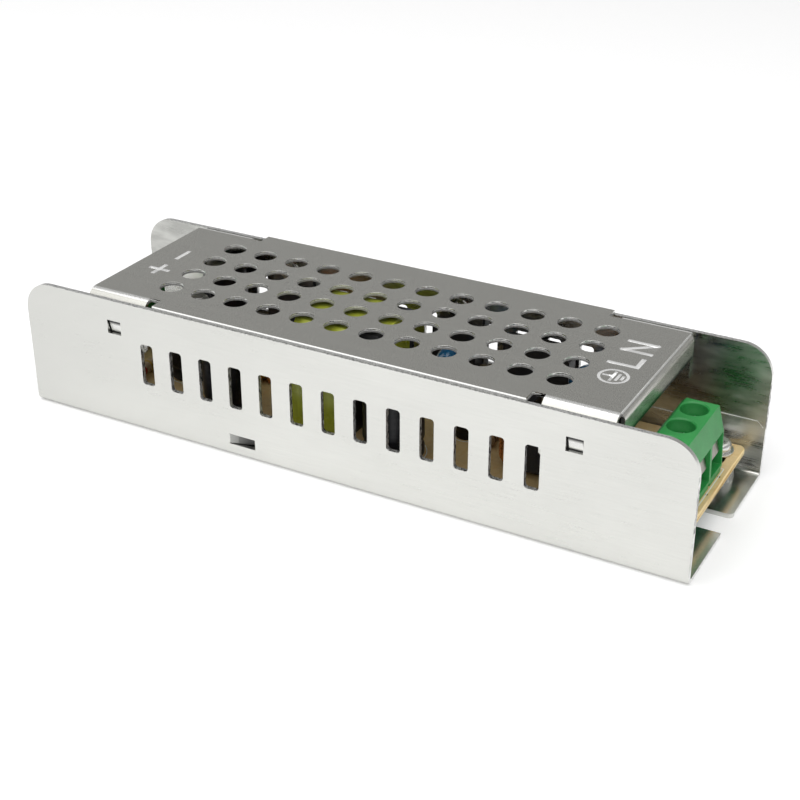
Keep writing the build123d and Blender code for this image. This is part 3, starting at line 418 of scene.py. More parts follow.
@dataclass(frozen=True)
class RolledSheet:
    """Rolled sheet of the cover: fine pits, dull hole walls, painted highlights on the rims and barbs,
    painted shade in the slits and recesses.

    The heights of a hole's wall are given in metres, and what is masked by place in millimetres.
    """

    name: str
    colour: Colour
    edge: Colour
    roughness: float = 0.26
    wall_bottom: Tuple[float, float] = (28.9 * MM, 29.02 * MM)
    wall_top: Tuple[float, float] = (29.48 * MM, 29.52 * MM)
    painted_highlight_rims_up: Tuple[float, float] = (29.46, 29.77)
    painted_highlight_barbs_up: Tuple[float, float] = (20.0, 23.3)
    painted_shade_slits_up: Tuple[float, float] = (23.9, 25.0)
    recess_along: Tuple[float, float] = (49.8, 53.6)
    recess_across: Tuple[float, float] = (19.0, 21.16)
    recess_up: Tuple[float, float] = (21.2, 24.6)

    def material(self) -> bpy.types.Material:
        """Builds the material."""
        graph = Graph(self.name)
        pits = graph.noise(5600.0, 4.0, 0.65)
        streak = graph.noise(900.0, 3.0, 0.5, graph.mapped((0.08, 1.0, 1.0)))
        cloud = graph.noise(60.0, 2.0, 0.5)
        dark = [value * 0.8 for value in self.colour]
        tone = graph.mix(graph.spread(pits, 0.36, 0.66), dark, self.colour)
        tone = graph.mix(graph.spread(streak, 0.3, 0.8, 0.0, 0.35), tone,
                         [value * 1.12 for value in self.colour])
        tone = graph.mix(graph.spread(cloud, 0.4, 0.7, 0.0, 0.3), tone,
                         [value * 0.92 for value in self.colour])
        height = graph.axis(Axis.Z)
        below = graph.spread(height, *self.wall_top, 1.0, 0.0)
        above = graph.spread(height, *self.wall_bottom)
        wall = graph.product(below, above, graph.spread(graph.facing(Axis.Z), 0.3, 0.6, 1.0, 0.0))
        torn = graph.noise(2400.0, 3.0, 0.7, graph.mapped((1.0, 1.0, 0.5)))
        mottled = graph.mix(graph.spread(torn, 0.3, 0.62), [value * 0.62 for value in self.edge], self.edge)
        tone = graph.mix(wall, tone, mottled)
        # Painted highlight: the band of the side flanges at the barbs' height is painted light grey.
        tone = graph.mix(graph.within(Axis.Z, *self.painted_highlight_barbs_up, False, 0.7), tone, (0.72, 0.72, 0.70))
        # Painted shade: a near-black band just above the barbs stands in for the shadow in the lanced
        # slits.
        tone = graph.mix(graph.within(Axis.Z, *self.painted_shade_slits_up, False, 0.7), tone, (0.06, 0.06, 0.06))
        # Painted highlight: the rolled rims of the holes and the tops of the bends are painted near white.
        tone = graph.mix(graph.within(Axis.Z, *self.painted_highlight_rims_up, False, 0.02), tone, (0.95, 0.95, 0.93))
        rough = graph.spread(pits, 0.3, 0.7, self.roughness - 0.05, self.roughness + 0.08)
        # Painted shade: the recesses round the snap windows are painted near black.
        recess = graph.product(graph.within(Axis.X, *self.recess_along, True),
                               graph.within(Axis.Z, *self.recess_up),
                               graph.within(Axis.Y, *self.recess_across, True, 0.12))
        tone = graph.mix(recess, tone, (0.03, 0.03, 0.03))
        rough = graph.maths("ADD", rough, graph.product(wall, 0.45))
        bare = graph.spread(wall, 0.0, 1.0, 1.0, 0.3)
        relief = graph.bump(pits, 0.000008, 0.45)
        relief = graph.bump(graph.product(wall, torn), 0.00006, 0.7, relief)
        return graph.finish(Base_Color=tone, Metallic=bare, Roughness=rough, Normal=relief)


@dataclass(frozen=True)
class ClearFilm:
    """Thin milky film with a few soft creases."""

    name: str
    colour: Colour

    def material(self) -> bpy.types.Material:
        """Builds the material."""
        graph = Graph(self.name)
        cloud = graph.noise(220.0, 3.0, 0.5, graph.mapped((0.5, 1.0, 1.0)))
        tone = graph.mix(graph.spread(cloud, 0.3, 0.7), self.colour,
                         [value * 0.86 for value in self.colour])
        thickness = graph.spread(cloud, 0.3, 0.8, 0.02, 0.07)
        rim = graph.product(graph.spread(graph.facing(Axis.Z), 0.5, 0.9),
                            graph.spread(graph.axis(Axis.Z), 2.0 * MM, 4.0 * MM), 0.8)
        cover = graph.maths("MAXIMUM", thickness, rim)
        relief = graph.bump(cloud, 0.0001, 0.3)
        return graph.finish(Base_Color=tone, Alpha=cover, Roughness=0.12, Normal=relief)


@dataclass(frozen=True)
class PaperLaminate:
    """Tan circuit laminate, its copper side coated green with tracks showing through."""

    name: str
    tan: Colour
    gold: Colour
    mask: Colour

    def material(self) -> bpy.types.Material:
        """Builds the material."""
        graph = Graph(self.name)
        fibre = graph.noise(1500.0, 4.0, 0.6, graph.mapped((0.22, 1.0, 1.0)))
        cross = graph.noise(1500.0, 3.0, 0.6, graph.mapped((1.0, 0.22, 1.0)))
        cloud = graph.noise(70.0, 2.0, 0.5)
        top = graph.mix(graph.spread(fibre, 0.3, 0.7), self.tan, [value * 0.86 for value in self.tan])
        top = graph.mix(graph.spread(cross, 0.35, 0.75, 0.0, 0.4), top, self.gold)
        top = graph.mix(graph.spread(cloud, 0.35, 0.75, 0.0, 0.35), top,
                        [value * 0.8 for value in self.gold])
        height = graph.axis(Axis.Z)
        middle = graph.product(graph.spread(height, BOARD_TOP - 0.1 * MM, BOARD_TOP - 0.04 * MM, 1.0, 0.0),
                               graph.spread(graph.facing(Axis.Z), 0.75, 0.85, 1.0, 0.0))
        broken = graph.noise(2600.0, 3.0, 0.7, graph.mapped((1.0, 1.0, 0.4)))
        plies = graph.noise(2300.0, 2.0, 0.5, graph.mapped((0.03, 0.03, 1.0)))
        bright = [min(1.0, value * 1.3) for value in self.tan]
        side = graph.mix(graph.spread(plies, 0.42, 0.56), self.gold, bright)
        side = graph.mix(graph.spread(broken, 0.55, 0.75, 0.0, 0.5), side,
                         [value * 0.55 for value in self.gold])
        top = graph.mix(middle, top, side)
        web = graph.node("TexVoronoi", feature="DISTANCE_TO_EDGE")
        graph.feed(web.inputs["Vector"], graph.mapped((1.0, 1.0, 0.001)))
        graph.feed(web.inputs["Scale"], 150.0)
        gap = graph.spread(web.outputs["Distance"], 0.05, 0.08)
        copper = graph.mix(gap, [value * 0.45 for value in self.mask], self.mask)
        under = graph.spread(height, BOARD_UNDERSIDE + 0.02 * MM, BOARD_UNDERSIDE + 0.06 * MM, 1.0, 0.0)
        tone = graph.mix(under, top, copper)
        rough = graph.spread(fibre, 0.3, 0.7, 0.42, 0.58)
        rough = graph.product(rough, graph.spread(under, 0.0, 1.0, 1.0, 0.5))
        relief = graph.bump(fibre, 0.000018, 0.5)
        relief = graph.bump(graph.product(middle, broken), 0.00016, 0.8, relief)
        relief = graph.bump(graph.product(under, gap), 0.00004, 0.8, relief)
        return graph.finish(Base_Color=tone, Roughness=rough, Normal=relief)


@dataclass(frozen=True)
class MouldedPlastic:
    """Moulded plastic with a fine spark-eroded grain and slight flow marks."""

    name: str
    colour: Colour
    roughness: float = 0.42
    variation: float = 0.14
    grain: float = 0.00001
    grain_scale: float = 5200.0
    scattered: float = 0.0

    def material(self) -> bpy.types.Material:
        """Builds the material."""
        graph = Graph(self.name)
        grain = graph.noise(self.grain_scale, 3.0, 0.6)
        flow = graph.noise(230.0, 3.0, 0.5, graph.mapped((0.5, 1.0, 1.0)))
        low = [value * (1.0 - self.variation) for value in self.colour]
        high = [min(1.0, value * (1.0 + self.variation)) for value in self.colour]
        tone = graph.mix(graph.spread(flow, 0.3, 0.7), low, high)
        tone = graph.mix(graph.spread(grain, 0.4, 0.75, 0.0, 0.25), tone, low)
        rough = graph.spread(grain, 0.3, 0.7, self.roughness - 0.06, self.roughness + 0.08)
        relief = graph.bump(grain, self.grain, 0.6)
        relief = graph.bump(flow, self.grain * 3.0, 0.3, relief)
        return graph.finish(Base_Color=tone, Roughness=rough, Normal=relief,
                            Subsurface_Weight=self.scattered, Subsurface_Scale=0.0006)


@dataclass(frozen=True)
class DippedEpoxy:
    """Glossy coating that was dipped and cured, slightly wavy and thinner at edges."""

    name: str
    colour: Colour
    roughness: float = 0.2

    def material(self) -> bpy.types.Material:
        """Builds the material."""
        graph = Graph(self.name)
        wave = graph.noise(620.0, 2.0, 0.4)
        dust = graph.noise(6500.0, 2.0, 0.6)
        tone = graph.mix(graph.spread(wave, 0.3, 0.7), [value * 0.8 for value in self.colour],
                         [min(1.0, value * 1.15) for value in self.colour])
        tone = graph.mix(graph.spread(dust, 0.62, 0.75, 0.0, 0.4), tone,
                         [min(1.0, value + 0.12) for value in self.colour])
        rough = graph.spread(dust, 0.3, 0.7, self.roughness, self.roughness + 0.12)
        relief = graph.bump(wave, 0.00012, 0.5)
        return graph.finish(Base_Color=tone, Roughness=rough, Normal=relief, Coat_Weight=0.4,
                            Coat_Roughness=0.12)


@dataclass(frozen=True)
class ShrunkSleeve:
    """Shrunk sleeve, drawn in fine lines round the can."""

    name: str
    colour: Colour

    def material(self) -> bpy.types.Material:
        """Builds the material."""
        graph = Graph(self.name)
        ring = graph.noise(1900.0, 2.0, 0.5, graph.mapped((0.12, 0.12, 1.0)))
        cloud = graph.noise(300.0, 2.0, 0.5)
        tone = graph.mix(graph.spread(ring, 0.3, 0.75), self.colour,
                         [min(1.0, value * 1.5 + 0.01) for value in self.colour])
        rough = graph.spread(cloud, 0.3, 0.7, 0.3, 0.44)
        relief = graph.bump(ring, 0.00002, 0.5)
        return graph.finish(Base_Color=tone, Roughness=rough, Normal=relief, Specular_IOR_Level=0.25)


@dataclass(frozen=True)
class PolyesterTape:
    """Bright polyester tape in wrapped layers with small blisters, with painted shade where it lies flat.
    """

    name: str
    colour: Colour

    def material(self) -> bpy.types.Material:
        """Builds the material."""
        graph = Graph(self.name)
        layer = graph.noise(1300.0, 2.0, 0.5, graph.mapped((1.0, 0.06, 0.06)))
        blister = graph.noise(420.0, 3.0, 0.55)
        tone = graph.mix(graph.spread(layer, 0.35, 0.7), self.colour,
                         [value * 0.82 for value in self.colour])
        tone = graph.mix(graph.spread(blister, 0.5, 0.7, 0.0, 0.5), tone,
                         [min(1.0, value * 1.12 + 0.03) for value in self.colour])
        # Painted shade: faces that lie flat, up or down, are darkened to about a third of the tape colour.
        flat = graph.spread(graph.facing(Axis.Z), 0.6, 0.9, 0.0, 0.85)
        tone = graph.mix(flat, tone, [value * 0.36 for value in self.colour])
        rough = graph.spread(blister, 0.3, 0.7, 0.22, 0.4)
        relief = graph.bump(layer, 0.00005, 0.5)
        relief = graph.bump(blister, 0.00014, 0.4, relief)
        return graph.finish(Base_Color=tone, Roughness=rough, Normal=relief)


@dataclass(frozen=True)
class Sintered:
    """Ground and pressed ceramic, such as ferrite, with pores and small chips."""

    name: str
    colour: Colour
    roughness: float = 0.55

    def material(self) -> bpy.types.Material:
        """Builds the material."""
        graph = Graph(self.name)
        pores = graph.cells(3800.0)
        ground = graph.noise(2600.0, 3.0, 0.6, graph.mapped((1.0, 0.1, 1.0)))
        tone = graph.mix(graph.spread(ground, 0.3, 0.7), self.colour,
                         [min(1.0, value * 1.35 + 0.01) for value in self.colour])
        tone = graph.mix(graph.spread(pores, 0.1, 0.22, 0.7, 0.0), tone,
                         [value * 0.4 for value in self.colour])
        relief = graph.bump(graph.spread(pores, 0.08, 0.3), 0.00004, 0.5)
        relief = graph.bump(ground, 0.00001, 0.5, relief)
        rough = graph.spread(ground, 0.3, 0.7, self.roughness - 0.08, self.roughness + 0.1)
        return graph.finish(Base_Color=tone, Roughness=rough, Normal=relief)


@dataclass(frozen=True)
class PlatedMetal:
    """Plated or bare metal of small parts with a light tarnish; the near-white, part-metallic mark finish
    made from it is a painted highlight.
    """

    name: str
    colour: Colour
    tarnish: Colour
    roughness: float = 0.28
    turned: bool = False
    metallic: float = 1.0

    def material(self) -> bpy.types.Material:
        """Builds the material."""
        graph = Graph(self.name)
        stretch = (0.2, 0.2, 1.0) if self.turned else (1.0, 1.0, 1.0)
        fine = graph.noise(4200.0, 3.0, 0.6, graph.mapped(stretch))
        stain = graph.noise(520.0, 3.0, 0.6)
        tone = graph.mix(graph.spread(stain, 0.42, 0.75, 0.0, 0.75), self.colour, self.tarnish)
        tone = graph.mix(graph.spread(fine, 0.45, 0.8, 0.0, 0.3), tone,
                         [value * 0.7 for value in self.colour])
        rough = graph.spread(stain, 0.3, 0.8, self.roughness - 0.05, self.roughness + 0.16)
        relief = graph.bump(fine, 0.000012, 0.5)
        return graph.finish(Base_Color=tone, Metallic=self.metallic, Roughness=rough, Normal=relief)


@dataclass(frozen=True)
class EnamelledWire:
    """Copper wire under a clear amber enamel."""

    name: str
    colour: Colour
    amber: Colour

    def material(self) -> bpy.types.Material:
        """Builds the material."""
        graph = Graph(self.name)
        drawn = graph.noise(3200.0, 3.0, 0.55)
        pool = graph.noise(700.0, 2.0, 0.5)
        tone = graph.mix(graph.spread(pool, 0.35, 0.7), self.colour, self.amber)
        tone = graph.mix(graph.spread(drawn, 0.5, 0.8, 0.0, 0.4), tone,
                         [value * 0.6 for value in self.colour])
        relief = graph.bump(drawn, 0.00001, 0.4)
        rough = graph.spread(pool, 0.3, 0.7, 0.2, 0.34)
        return graph.finish(Base_Color=tone, Metallic=0.75, Roughness=rough, Normal=relief,
                            Coat_Weight=0.7, Coat_Roughness=0.1)


@dataclass(frozen=True)
class Ink:
    """Printed line on a surface, worn thin in places."""

    name: str
    colour: Colour

    def material(self) -> bpy.types.Material:
        """Builds the material."""
        graph = Graph(self.name)
        wear = graph.noise(3000.0, 3.0, 0.6)
        tone = graph.mix(graph.spread(wear, 0.5, 0.75, 0.0, 0.5), self.colour,
                         [value * 0.75 for value in self.colour])
        return graph.finish(Base_Color=tone, Roughness=graph.spread(wear, 0.3, 0.7, 0.5, 0.7),
                            Normal=graph.bump(wear, 0.00001, 0.4))


class Finishes:
    """All finishes by the name of the record's material slot or of an extra one."""

    RECIPES = (
        BrushedAluminium("chassis_aluminium", (0.70, 0.702, 0.672), (0.655, 0.657, 0.628)),
        RolledSheet("cover_sheet", (0.58, 0.575, 0.535), (0.46, 0.46, 0.45)),
        ClearFilm("clear_film", (0.78, 0.79, 0.75)),
        PaperLaminate("board_laminate", (0.78, 0.61, 0.33), (0.62, 0.36, 0.08), (0.05, 0.22, 0.11)),
        # Mark finish: glossier than the sheet, and its near-white colour is a painted highlight.
        PlatedMetal("stamped_mark", (0.97, 0.97, 0.96), (0.94, 0.94, 0.92), 0.12, False,
                    0.55),
        PlatedMetal("zinc_steel", (0.78, 0.78, 0.76), (0.60, 0.58, 0.52), 0.22, True),
        PlatedMetal("tinned_copper", (0.70, 0.71, 0.70), (0.50, 0.50, 0.47), 0.34),
        PlatedMetal("nickel_plate", (0.52, 0.49, 0.44), (0.36, 0.33, 0.28), 0.3),
        MouldedPlastic("terminal_green", (0.026, 0.29, 0.062), 0.42, 0.10, 0.000008, 5200.0),
        PlatedMetal("dull_tin", (0.40, 0.37, 0.34), (0.28, 0.25, 0.22), 0.36),
        DippedEpoxy("brown_coating", (0.20, 0.09, 0.04)),
        DippedEpoxy("dark_epoxy", (0.025, 0.03, 0.025)),
        MouldedPlastic("case_plastic", (0.02, 0.09, 0.34), 0.34),
        DippedEpoxy("blue_epoxy", (0.004, 0.12, 0.27)),
        MouldedPlastic("black_epoxy", (0.022, 0.022, 0.024), 0.5, 0.2, 0.00002, 6500.0),
        MouldedPlastic("white_epoxy", (0.75, 0.75, 0.70), 0.5),
        ShrunkSleeve("black_sleeve", (0.007, 0.007, 0.009)),
        Sintered("ferrite", (0.035, 0.036, 0.04)),
        MouldedPlastic("core_paint", (0.62, 0.44, 0.04), 0.5, 0.12, 0.00003),
        EnamelledWire("enamelled_copper", (0.66, 0.26, 0.10), (0.72, 0.36, 0.10)),
        MouldedPlastic("bobbin_plastic", (0.02, 0.02, 0.022), 0.45),
        PolyesterTape("lime_tape", (0.60, 0.66, 0.07)),
        DippedEpoxy("resistor_lacquer", (0.50, 0.36, 0.20), 0.3),
        MouldedPlastic("pad_rubber", (0.36, 0.38, 0.40), 0.7, 0.08, 0.00003, 2600.0),
        PlatedMetal("solder", (0.74, 0.75, 0.76), (0.52, 0.53, 0.54), 0.24),
        PlatedMetal("can_top", (0.42, 0.42, 0.43), (0.30, 0.30, 0.31), 0.3),
        MouldedPlastic("rubber_bung", (0.03, 0.03, 0.03), 0.8, 0.2, 0.00003),
        Ink("sleeve_stripe", (0.52, 0.54, 0.56)),
        Ink("silkscreen", (0.80, 0.80, 0.76)),
        Ink("band_brown", (0.10, 0.03, 0.01)),
        Ink("band_red", (0.46, 0.02, 0.01)),
        Ink("band_gold", (0.45, 0.28, 0.04)),
        MouldedPlastic("wire_sleeve", (0.62, 0.62, 0.58), 0.35),
    )

    def __init__(self) -> None:
        """Starts with no material built."""
        self.recipes = {recipe.name: recipe for recipe in self.RECIPES}
        self.made: Dict[str, bpy.types.Material] = {}

    def get(self, name: str) -> bpy.types.Material:
        """Material of a finish, built on first use.

        Args:
            name: Name of the finish.

        Returns:
            The material.
        """
        if name not in self.made:
            self.made[name] = self.recipes[name].material()
        return self.made[name]


FINISHES = Finishes()
SLOTS = {part["node"]: part["material_slot"] for part in frame["record"]["subparts"]}


# Mesh work

def merged_copy(node: str) -> bmesh.types.BMesh:
    """Copy of a CAD node's mesh with its loose triangles joined and flat faces made whole.

    Args:
        node: Name of the CAD node.

    Returns:
        The editable mesh.
    """
    mesh = bmesh.new()
    mesh.from_mesh(frame["nodes"][node].data)
    bmesh.ops.remove_doubles(mesh, verts=mesh.verts, dist=2e-6)
    bmesh.ops.dissolve_limit(mesh, angle_limit=math.radians(0.6), verts=mesh.verts, edges=mesh.edges)
    return mesh


def break_edges(mesh: bmesh.types.BMesh, width: float, angle: float = 40.0, segments: int = 2,
                where: Optional[Callable[[Vector], bool]] = None) -> None:
    """Rounds the sharp edges of a mesh.

    Args:
        mesh: The mesh to change.
        width: Width of the rounding, in metres.
        angle: Smallest angle that counts as sharp, in degrees.
        segments: Facets across the rounding.
        where: Limits the edges by their middle.
    """
    limit = math.radians(angle)
    sharp = []
    for edge in mesh.edges:
        if len(edge.link_faces) != 2 or edge.calc_face_angle(0.0) < limit:
            continue
        if where is None or where((edge.verts[0].co + edge.verts[1].co) / 2):
            sharp.append(edge)
    bmesh.ops.bevel(mesh, geom=sharp, offset=width, offset_type="OFFSET", segments=segments,
                    profile=0.5, affect="EDGES", clamp_overlap=True, material=-1)


def paint(mesh: bmesh.types.BMesh, rule: Rule) -> None:
    """Gives each face a material by its middle and normal.

    Args:
        mesh: The mesh to paint.
        rule: Returns the index of a material.
    """
    mesh.normal_update()
    for face in mesh.faces:
        face.material_index = rule(face.calc_center_median(), face.normal)


def placed(name: str, mesh: bmesh.types.BMesh, body: str, slots: Sequence[str],
           replaced: Sequence[str] = (), smooth: float = 42.0) -> bpy.types.Object:
    """Turns a mesh into a piece of the part that rides on a body.

    Args:
        name: Name of the piece.
        mesh: The finished mesh, which is freed.
        body: Body that carries the piece.
        slots: Finishes, the piece's own first.
        replaced: CAD nodes that the piece stands for.
        smooth: Largest angle that is shaded smooth, in degrees.

    Returns:
        The new object.
    """
    data = bpy.data.meshes.new(name)
    mesh.to_mesh(data)
    mesh.free()
    for polygon in data.polygons:
        polygon.use_smooth = True
    data.set_sharp_from_angle(angle=math.radians(smooth))
    piece = bpy.data.objects.new(name, data)
    bpy.context.scene.collection.objects.link(piece)
    for slot in slots:
        data.materials.append(FINISHES.get(slot))
    weights = piece.modifiers.new("Even shading", "WEIGHTED_NORMAL")
    weights.keep_sharp = True
    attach(piece, body)
    if replaced:
        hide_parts(*replaced)
    LOG.info("%s: %d faces on %s", name, len(data.polygons), body)
    return piece


def ringed(mesh: bmesh.types.BMesh, outline: Sequence[Tuple[float, float]], centre: Point,
           steps: int = 48, axis: Axis = Axis.Z) -> List[bmesh.types.BMFace]:
    """Spins an open outline of (radius, height) points once round an axis.

    Args:
        mesh: The mesh to add to.
        outline: Points from the foot to the top, in metres.
        centre: Point on the axis that heights are counted from.
        steps: Facets round the axis.
        axis: The axis.

    Returns:
        The new faces.
    """
    along = axis.vector()
    out = Vector((0.0, 0.0, 1.0)) if axis is Axis.X else Vector((1.0, 0.0, 0.0))
    middle = Vector(centre)
    before = set(mesh.faces)
    points = [mesh.verts.new(middle + out * radius + along * height) for radius, height in outline]
    edges = [mesh.edges.new(pair) for pair in zip(points, points[1:])]
    bmesh.ops.spin(mesh, geom=points + edges, cent=middle, axis=along, dvec=(0.0, 0.0, 0.0),
                   angle=math.tau, steps=steps, use_merge=True, use_duplicate=False)
    new = [face for face in mesh.faces if face not in before]
    corners = {vert for face in new for vert in face.verts}
    bmesh.ops.remove_doubles(mesh, verts=list(corners), dist=1e-6)
    new = [face for face in mesh.faces if face not in before]
    bmesh.ops.recalc_face_normals(mesh, faces=new)
    return new


def trough(mesh: bmesh.types.BMesh, start: Vector, end: Vector, width: float, depth: float) -> None:
    """Adds a straight cutter with sloping walls, whose top lies between two points.

    Args:
        mesh: The mesh to add to.
        start: Middle of one end, on the surface.
        end: Middle of the other end, on the surface.
        width: Width at the surface, in metres.
        depth: Depth below the surface, in metres.
    """
    made = bmesh.ops.create_cube(mesh, size=1.0)["verts"]
    span = end - start
    rise = 0.25 * depth
    for vert in made:
        top = vert.co.z > 0
        reach = width * (1.0 + rise / depth) if top else 0.14 * width
        vert.co.x *= span.length + reach * (1.0 if top else 2.0)
        vert.co.y *= reach
        vert.co.z = rise if top else -depth
    turn = Matrix.Rotation(math.atan2(span.y, span.x), 4, "Z")
    bmesh.ops.transform(mesh, verts=made, matrix=Matrix.Translation((start + end) / 2) @ turn)


def ring_trough(mesh: bmesh.types.BMesh, centre: Vector, radius: float, width: float,
                depth: float) -> None:
    """Adds a ring-shaped cutter round a point of the surface.

    Args:
        mesh: The mesh to add to.
        centre: Middle of the ring, on the surface.
        radius: Radius of the groove's middle line, in metres.
        width: Width at the surface, in metres.
        depth: Depth below the surface, in metres.
    """
    half = width / 2
    rise = 0.25 * depth
    wide = half * (1.0 + rise / depth)
    outline = ((radius - wide, rise), (radius + wide, rise), (radius + half * 0.14, -depth),
               (radius - half * 0.14, -depth), (radius - wide, rise))
    ringed(mesh, outline, tuple(centre), 40)


def carved(mesh: bmesh.types.BMesh, cutters: Sequence[bmesh.types.BMesh]) -> bmesh.types.BMesh:
    """Takes cutters out of a mesh, one after the other.

    Args:
        mesh: The solid to cut, which is freed.
        cutters: Closed cutters, which are freed.

    Returns:
        The cut mesh.
    """
    data = bpy.data.meshes.new("cut_solid")
    mesh.to_mesh(data)
    mesh.free()
    solid = bpy.data.objects.new("cut_solid", data)
    bpy.context.scene.collection.objects.link(solid)
    tools = []
    for cutter in cutters:
        bmesh.ops.recalc_face_normals(cutter, faces=cutter.faces)
        tool_data = bpy.data.meshes.new("cutter")
        cutter.to_mesh(tool_data)
        cutter.free()
        tool = bpy.data.objects.new("cutter", tool_data)
        bpy.context.scene.collection.objects.link(tool)
        tools.append(tool)
        cut = solid.modifiers.new("Cut", "BOOLEAN")
        cut.operation = "DIFFERENCE"
        cut.solver = "EXACT"
        cut.object = tool
    bpy.context.view_layer.update()
    result = bmesh.new()
    evaluated = solid.evaluated_get(bpy.context.evaluated_depsgraph_get())
    result.from_mesh(evaluated.data)
    for item in tools + [solid]:
        old = item.data
        bpy.data.objects.remove(item)
        bpy.data.meshes.remove(old)
    bmesh.ops.remove_doubles(result, verts=result.verts, dist=1e-6)
    return result


def islands(mesh: bmesh.types.BMesh) -> List[List[bmesh.types.BMVert]]:
    """Separate bodies of a mesh.

    Args:
        mesh: The mesh.

    Returns:
        The corners of each body.
    """
    left = set(mesh.verts)
    found = []
    while left:
        first = left.pop()
        group = [first]
        queue = [first]
        while queue:
            vert = queue.pop()
            for edge in vert.link_edges:
                other = edge.other_vert(vert)
                if other in left:
                    left.discard(other)
                    group.append(other)
                    queue.append(other)
        found.append(group)
    return found


def boxes_of(node: str) -> List[Tuple[Vector, Vector]]:
    """Boxes of the separate bodies of a CAD node, from left to right.

    Args:
        node: Name of the CAD node.

    Returns:
        Lowest and highest corner of each body.
    """
    mesh = bmesh.new()
    mesh.from_mesh(frame["nodes"][node].data)
    bmesh.ops.remove_doubles(mesh, verts=mesh.verts, dist=2e-6)
    found = []
    for group in islands(mesh):
        low = Vector([min(vert.co[axis] for vert in group) for axis in range(3)])
        high = Vector([max(vert.co[axis] for vert in group) for axis in range(3)])
        found.append((low, high))
    mesh.free()
    return sorted(found, key=lambda box: box[0].x)


# Sub-assemblies

@dataclass
class Case:
    """Chassis, insulating film and their small details."""

    edge: float = 0.12 * MM
    film_edge: float = 0.03 * MM

    def build(self) -> None:
        """Builds the chassis and dresses the film."""
        shell = merged_copy("chassis")
        break_edges(shell, self.edge, 50.0, 2)
        placed("chassis_shell", shell, "root", ["chassis_aluminium"], ["chassis"])
        dress("insulation_film")


@dataclass
class Cover:
    """Perforated cover with rolled rims and stamped marks.

    The field is the part of the top that holds the holes, and the marks lie beyond its ends.
    """

    rim: float = 0.1 * MM
    field_half_length: float = 47.0 * MM
    field_half_width: float = 15.0 * MM
    marks_start: float = 48.0 * MM
    marks_end: float = 56.5 * MM
    marks_half_width: float = 11.0 * MM
    thin_stroke: float = 0.58
    punch_radius: float = 0.3 * MM
    surface: float = 29.8 * MM
    stroke: float = 0.96 * MM
    stroke_depth: float = 0.36 * MM
    earth_centre: Tuple[float, float] = (52.3 * MM, -6.1 * MM)
    earth_radius: float = 2.75 * MM

    def point(self, x: float, y: float) -> Vector:
        """Point of the top surface from millimetres.

        Args:
            x: Place along the case.
            y: Place across the case.

        Returns:
            The point, in metres.
        """
        return Vector((x * MM, y * MM, self.surface))

    def strokes(self) -> List[Tuple[Vector, Vector]]:
        """Straight strokes of all marks.

        Returns:
            The two ends of each stroke.
        """
        ends = (
            # neutral pole
            (49.6, 5.6, 55.2, 5.6), (49.6, 9.75, 55.2, 9.75), (49.6, 5.6, 55.2, 9.75),
            # line pole
            (49.4, -0.7, 54.9, -0.7), (54.9, -0.7, 54.9, 2.8),
            # earth sign, inside its ring
            (50.4, -6.1, 52.2, -6.1), (52.2, -7.9, 52.2, -4.3), (53.2, -7.3, 53.2, -4.9),
            (54.1, -6.7, 54.1, -5.5),
            # minus and plus
            (-52.2, 1.4, -52.2, 5.6), (-54.2, -5.2, -50.0, -5.2), (-52.1, -7.3, -52.1, -3.1),
        )
        return [(self.point(x0, y0), self.point(x1, y1)) for x0, y0, x1, y1 in ends]

    def on_field(self, place: Vector) -> bool:
        """Tells whether a place lies among the holes, seen from above."""
        return abs(place.x) < self.field_half_length and abs(place.y) < self.field_half_width

    def build(self) -> None:
        """Builds the cover."""
        sheet = merged_copy("cover")
        level = self.surface - 0.01 * MM
        rolled = self.surface - self.punch_radius
        break_edges(sheet, self.punch_radius, 50.0, 4,
                    lambda place: place.z > level and self.on_field(place))
        break_edges(sheet, self.rim, 50.0, 2,
                    lambda place: place.z <= rolled or not self.on_field(place))
        cutters = []
        centre = Vector((self.earth_centre[0], self.earth_centre[1], self.surface))
        for start, end in self.strokes():
            cutter = bmesh.new()
            inside = (start - centre).length < self.earth_radius
            width = self.stroke * (self.thin_stroke if inside else 1.0)
            trough(cutter, start, end, width, self.stroke_depth)
            cutters.append(cutter)
        circle = bmesh.new()
        ring_trough(circle, centre, self.earth_radius, self.stroke * 0.6, self.stroke_depth)
        cutters.append(circle)
        sheet = carved(sheet, cutters)
        paint(sheet, self.stamped)
        placed("cover_sheet", sheet, "root", ["cover_sheet", "stamped_mark"], ["cover"], 30.0)

    def stamped(self, middle: Vector, normal: Vector) -> int:
        """Finish of a face: the glossier mark finish in the grooves of the marks, whose near-white colour
        is a painted highlight.

        Args:
            middle: Middle of the face.
            normal: Direction of the face; not used.

        Returns:
            Index of the finish.
        """
        sunk = self.surface - 1.2 * self.stroke_depth < middle.z < self.surface - 1e-6
        among = self.marks_start < abs(middle.x) < self.marks_end and abs(middle.y) < self.marks_half_width
        return 1 if sunk and among else 0


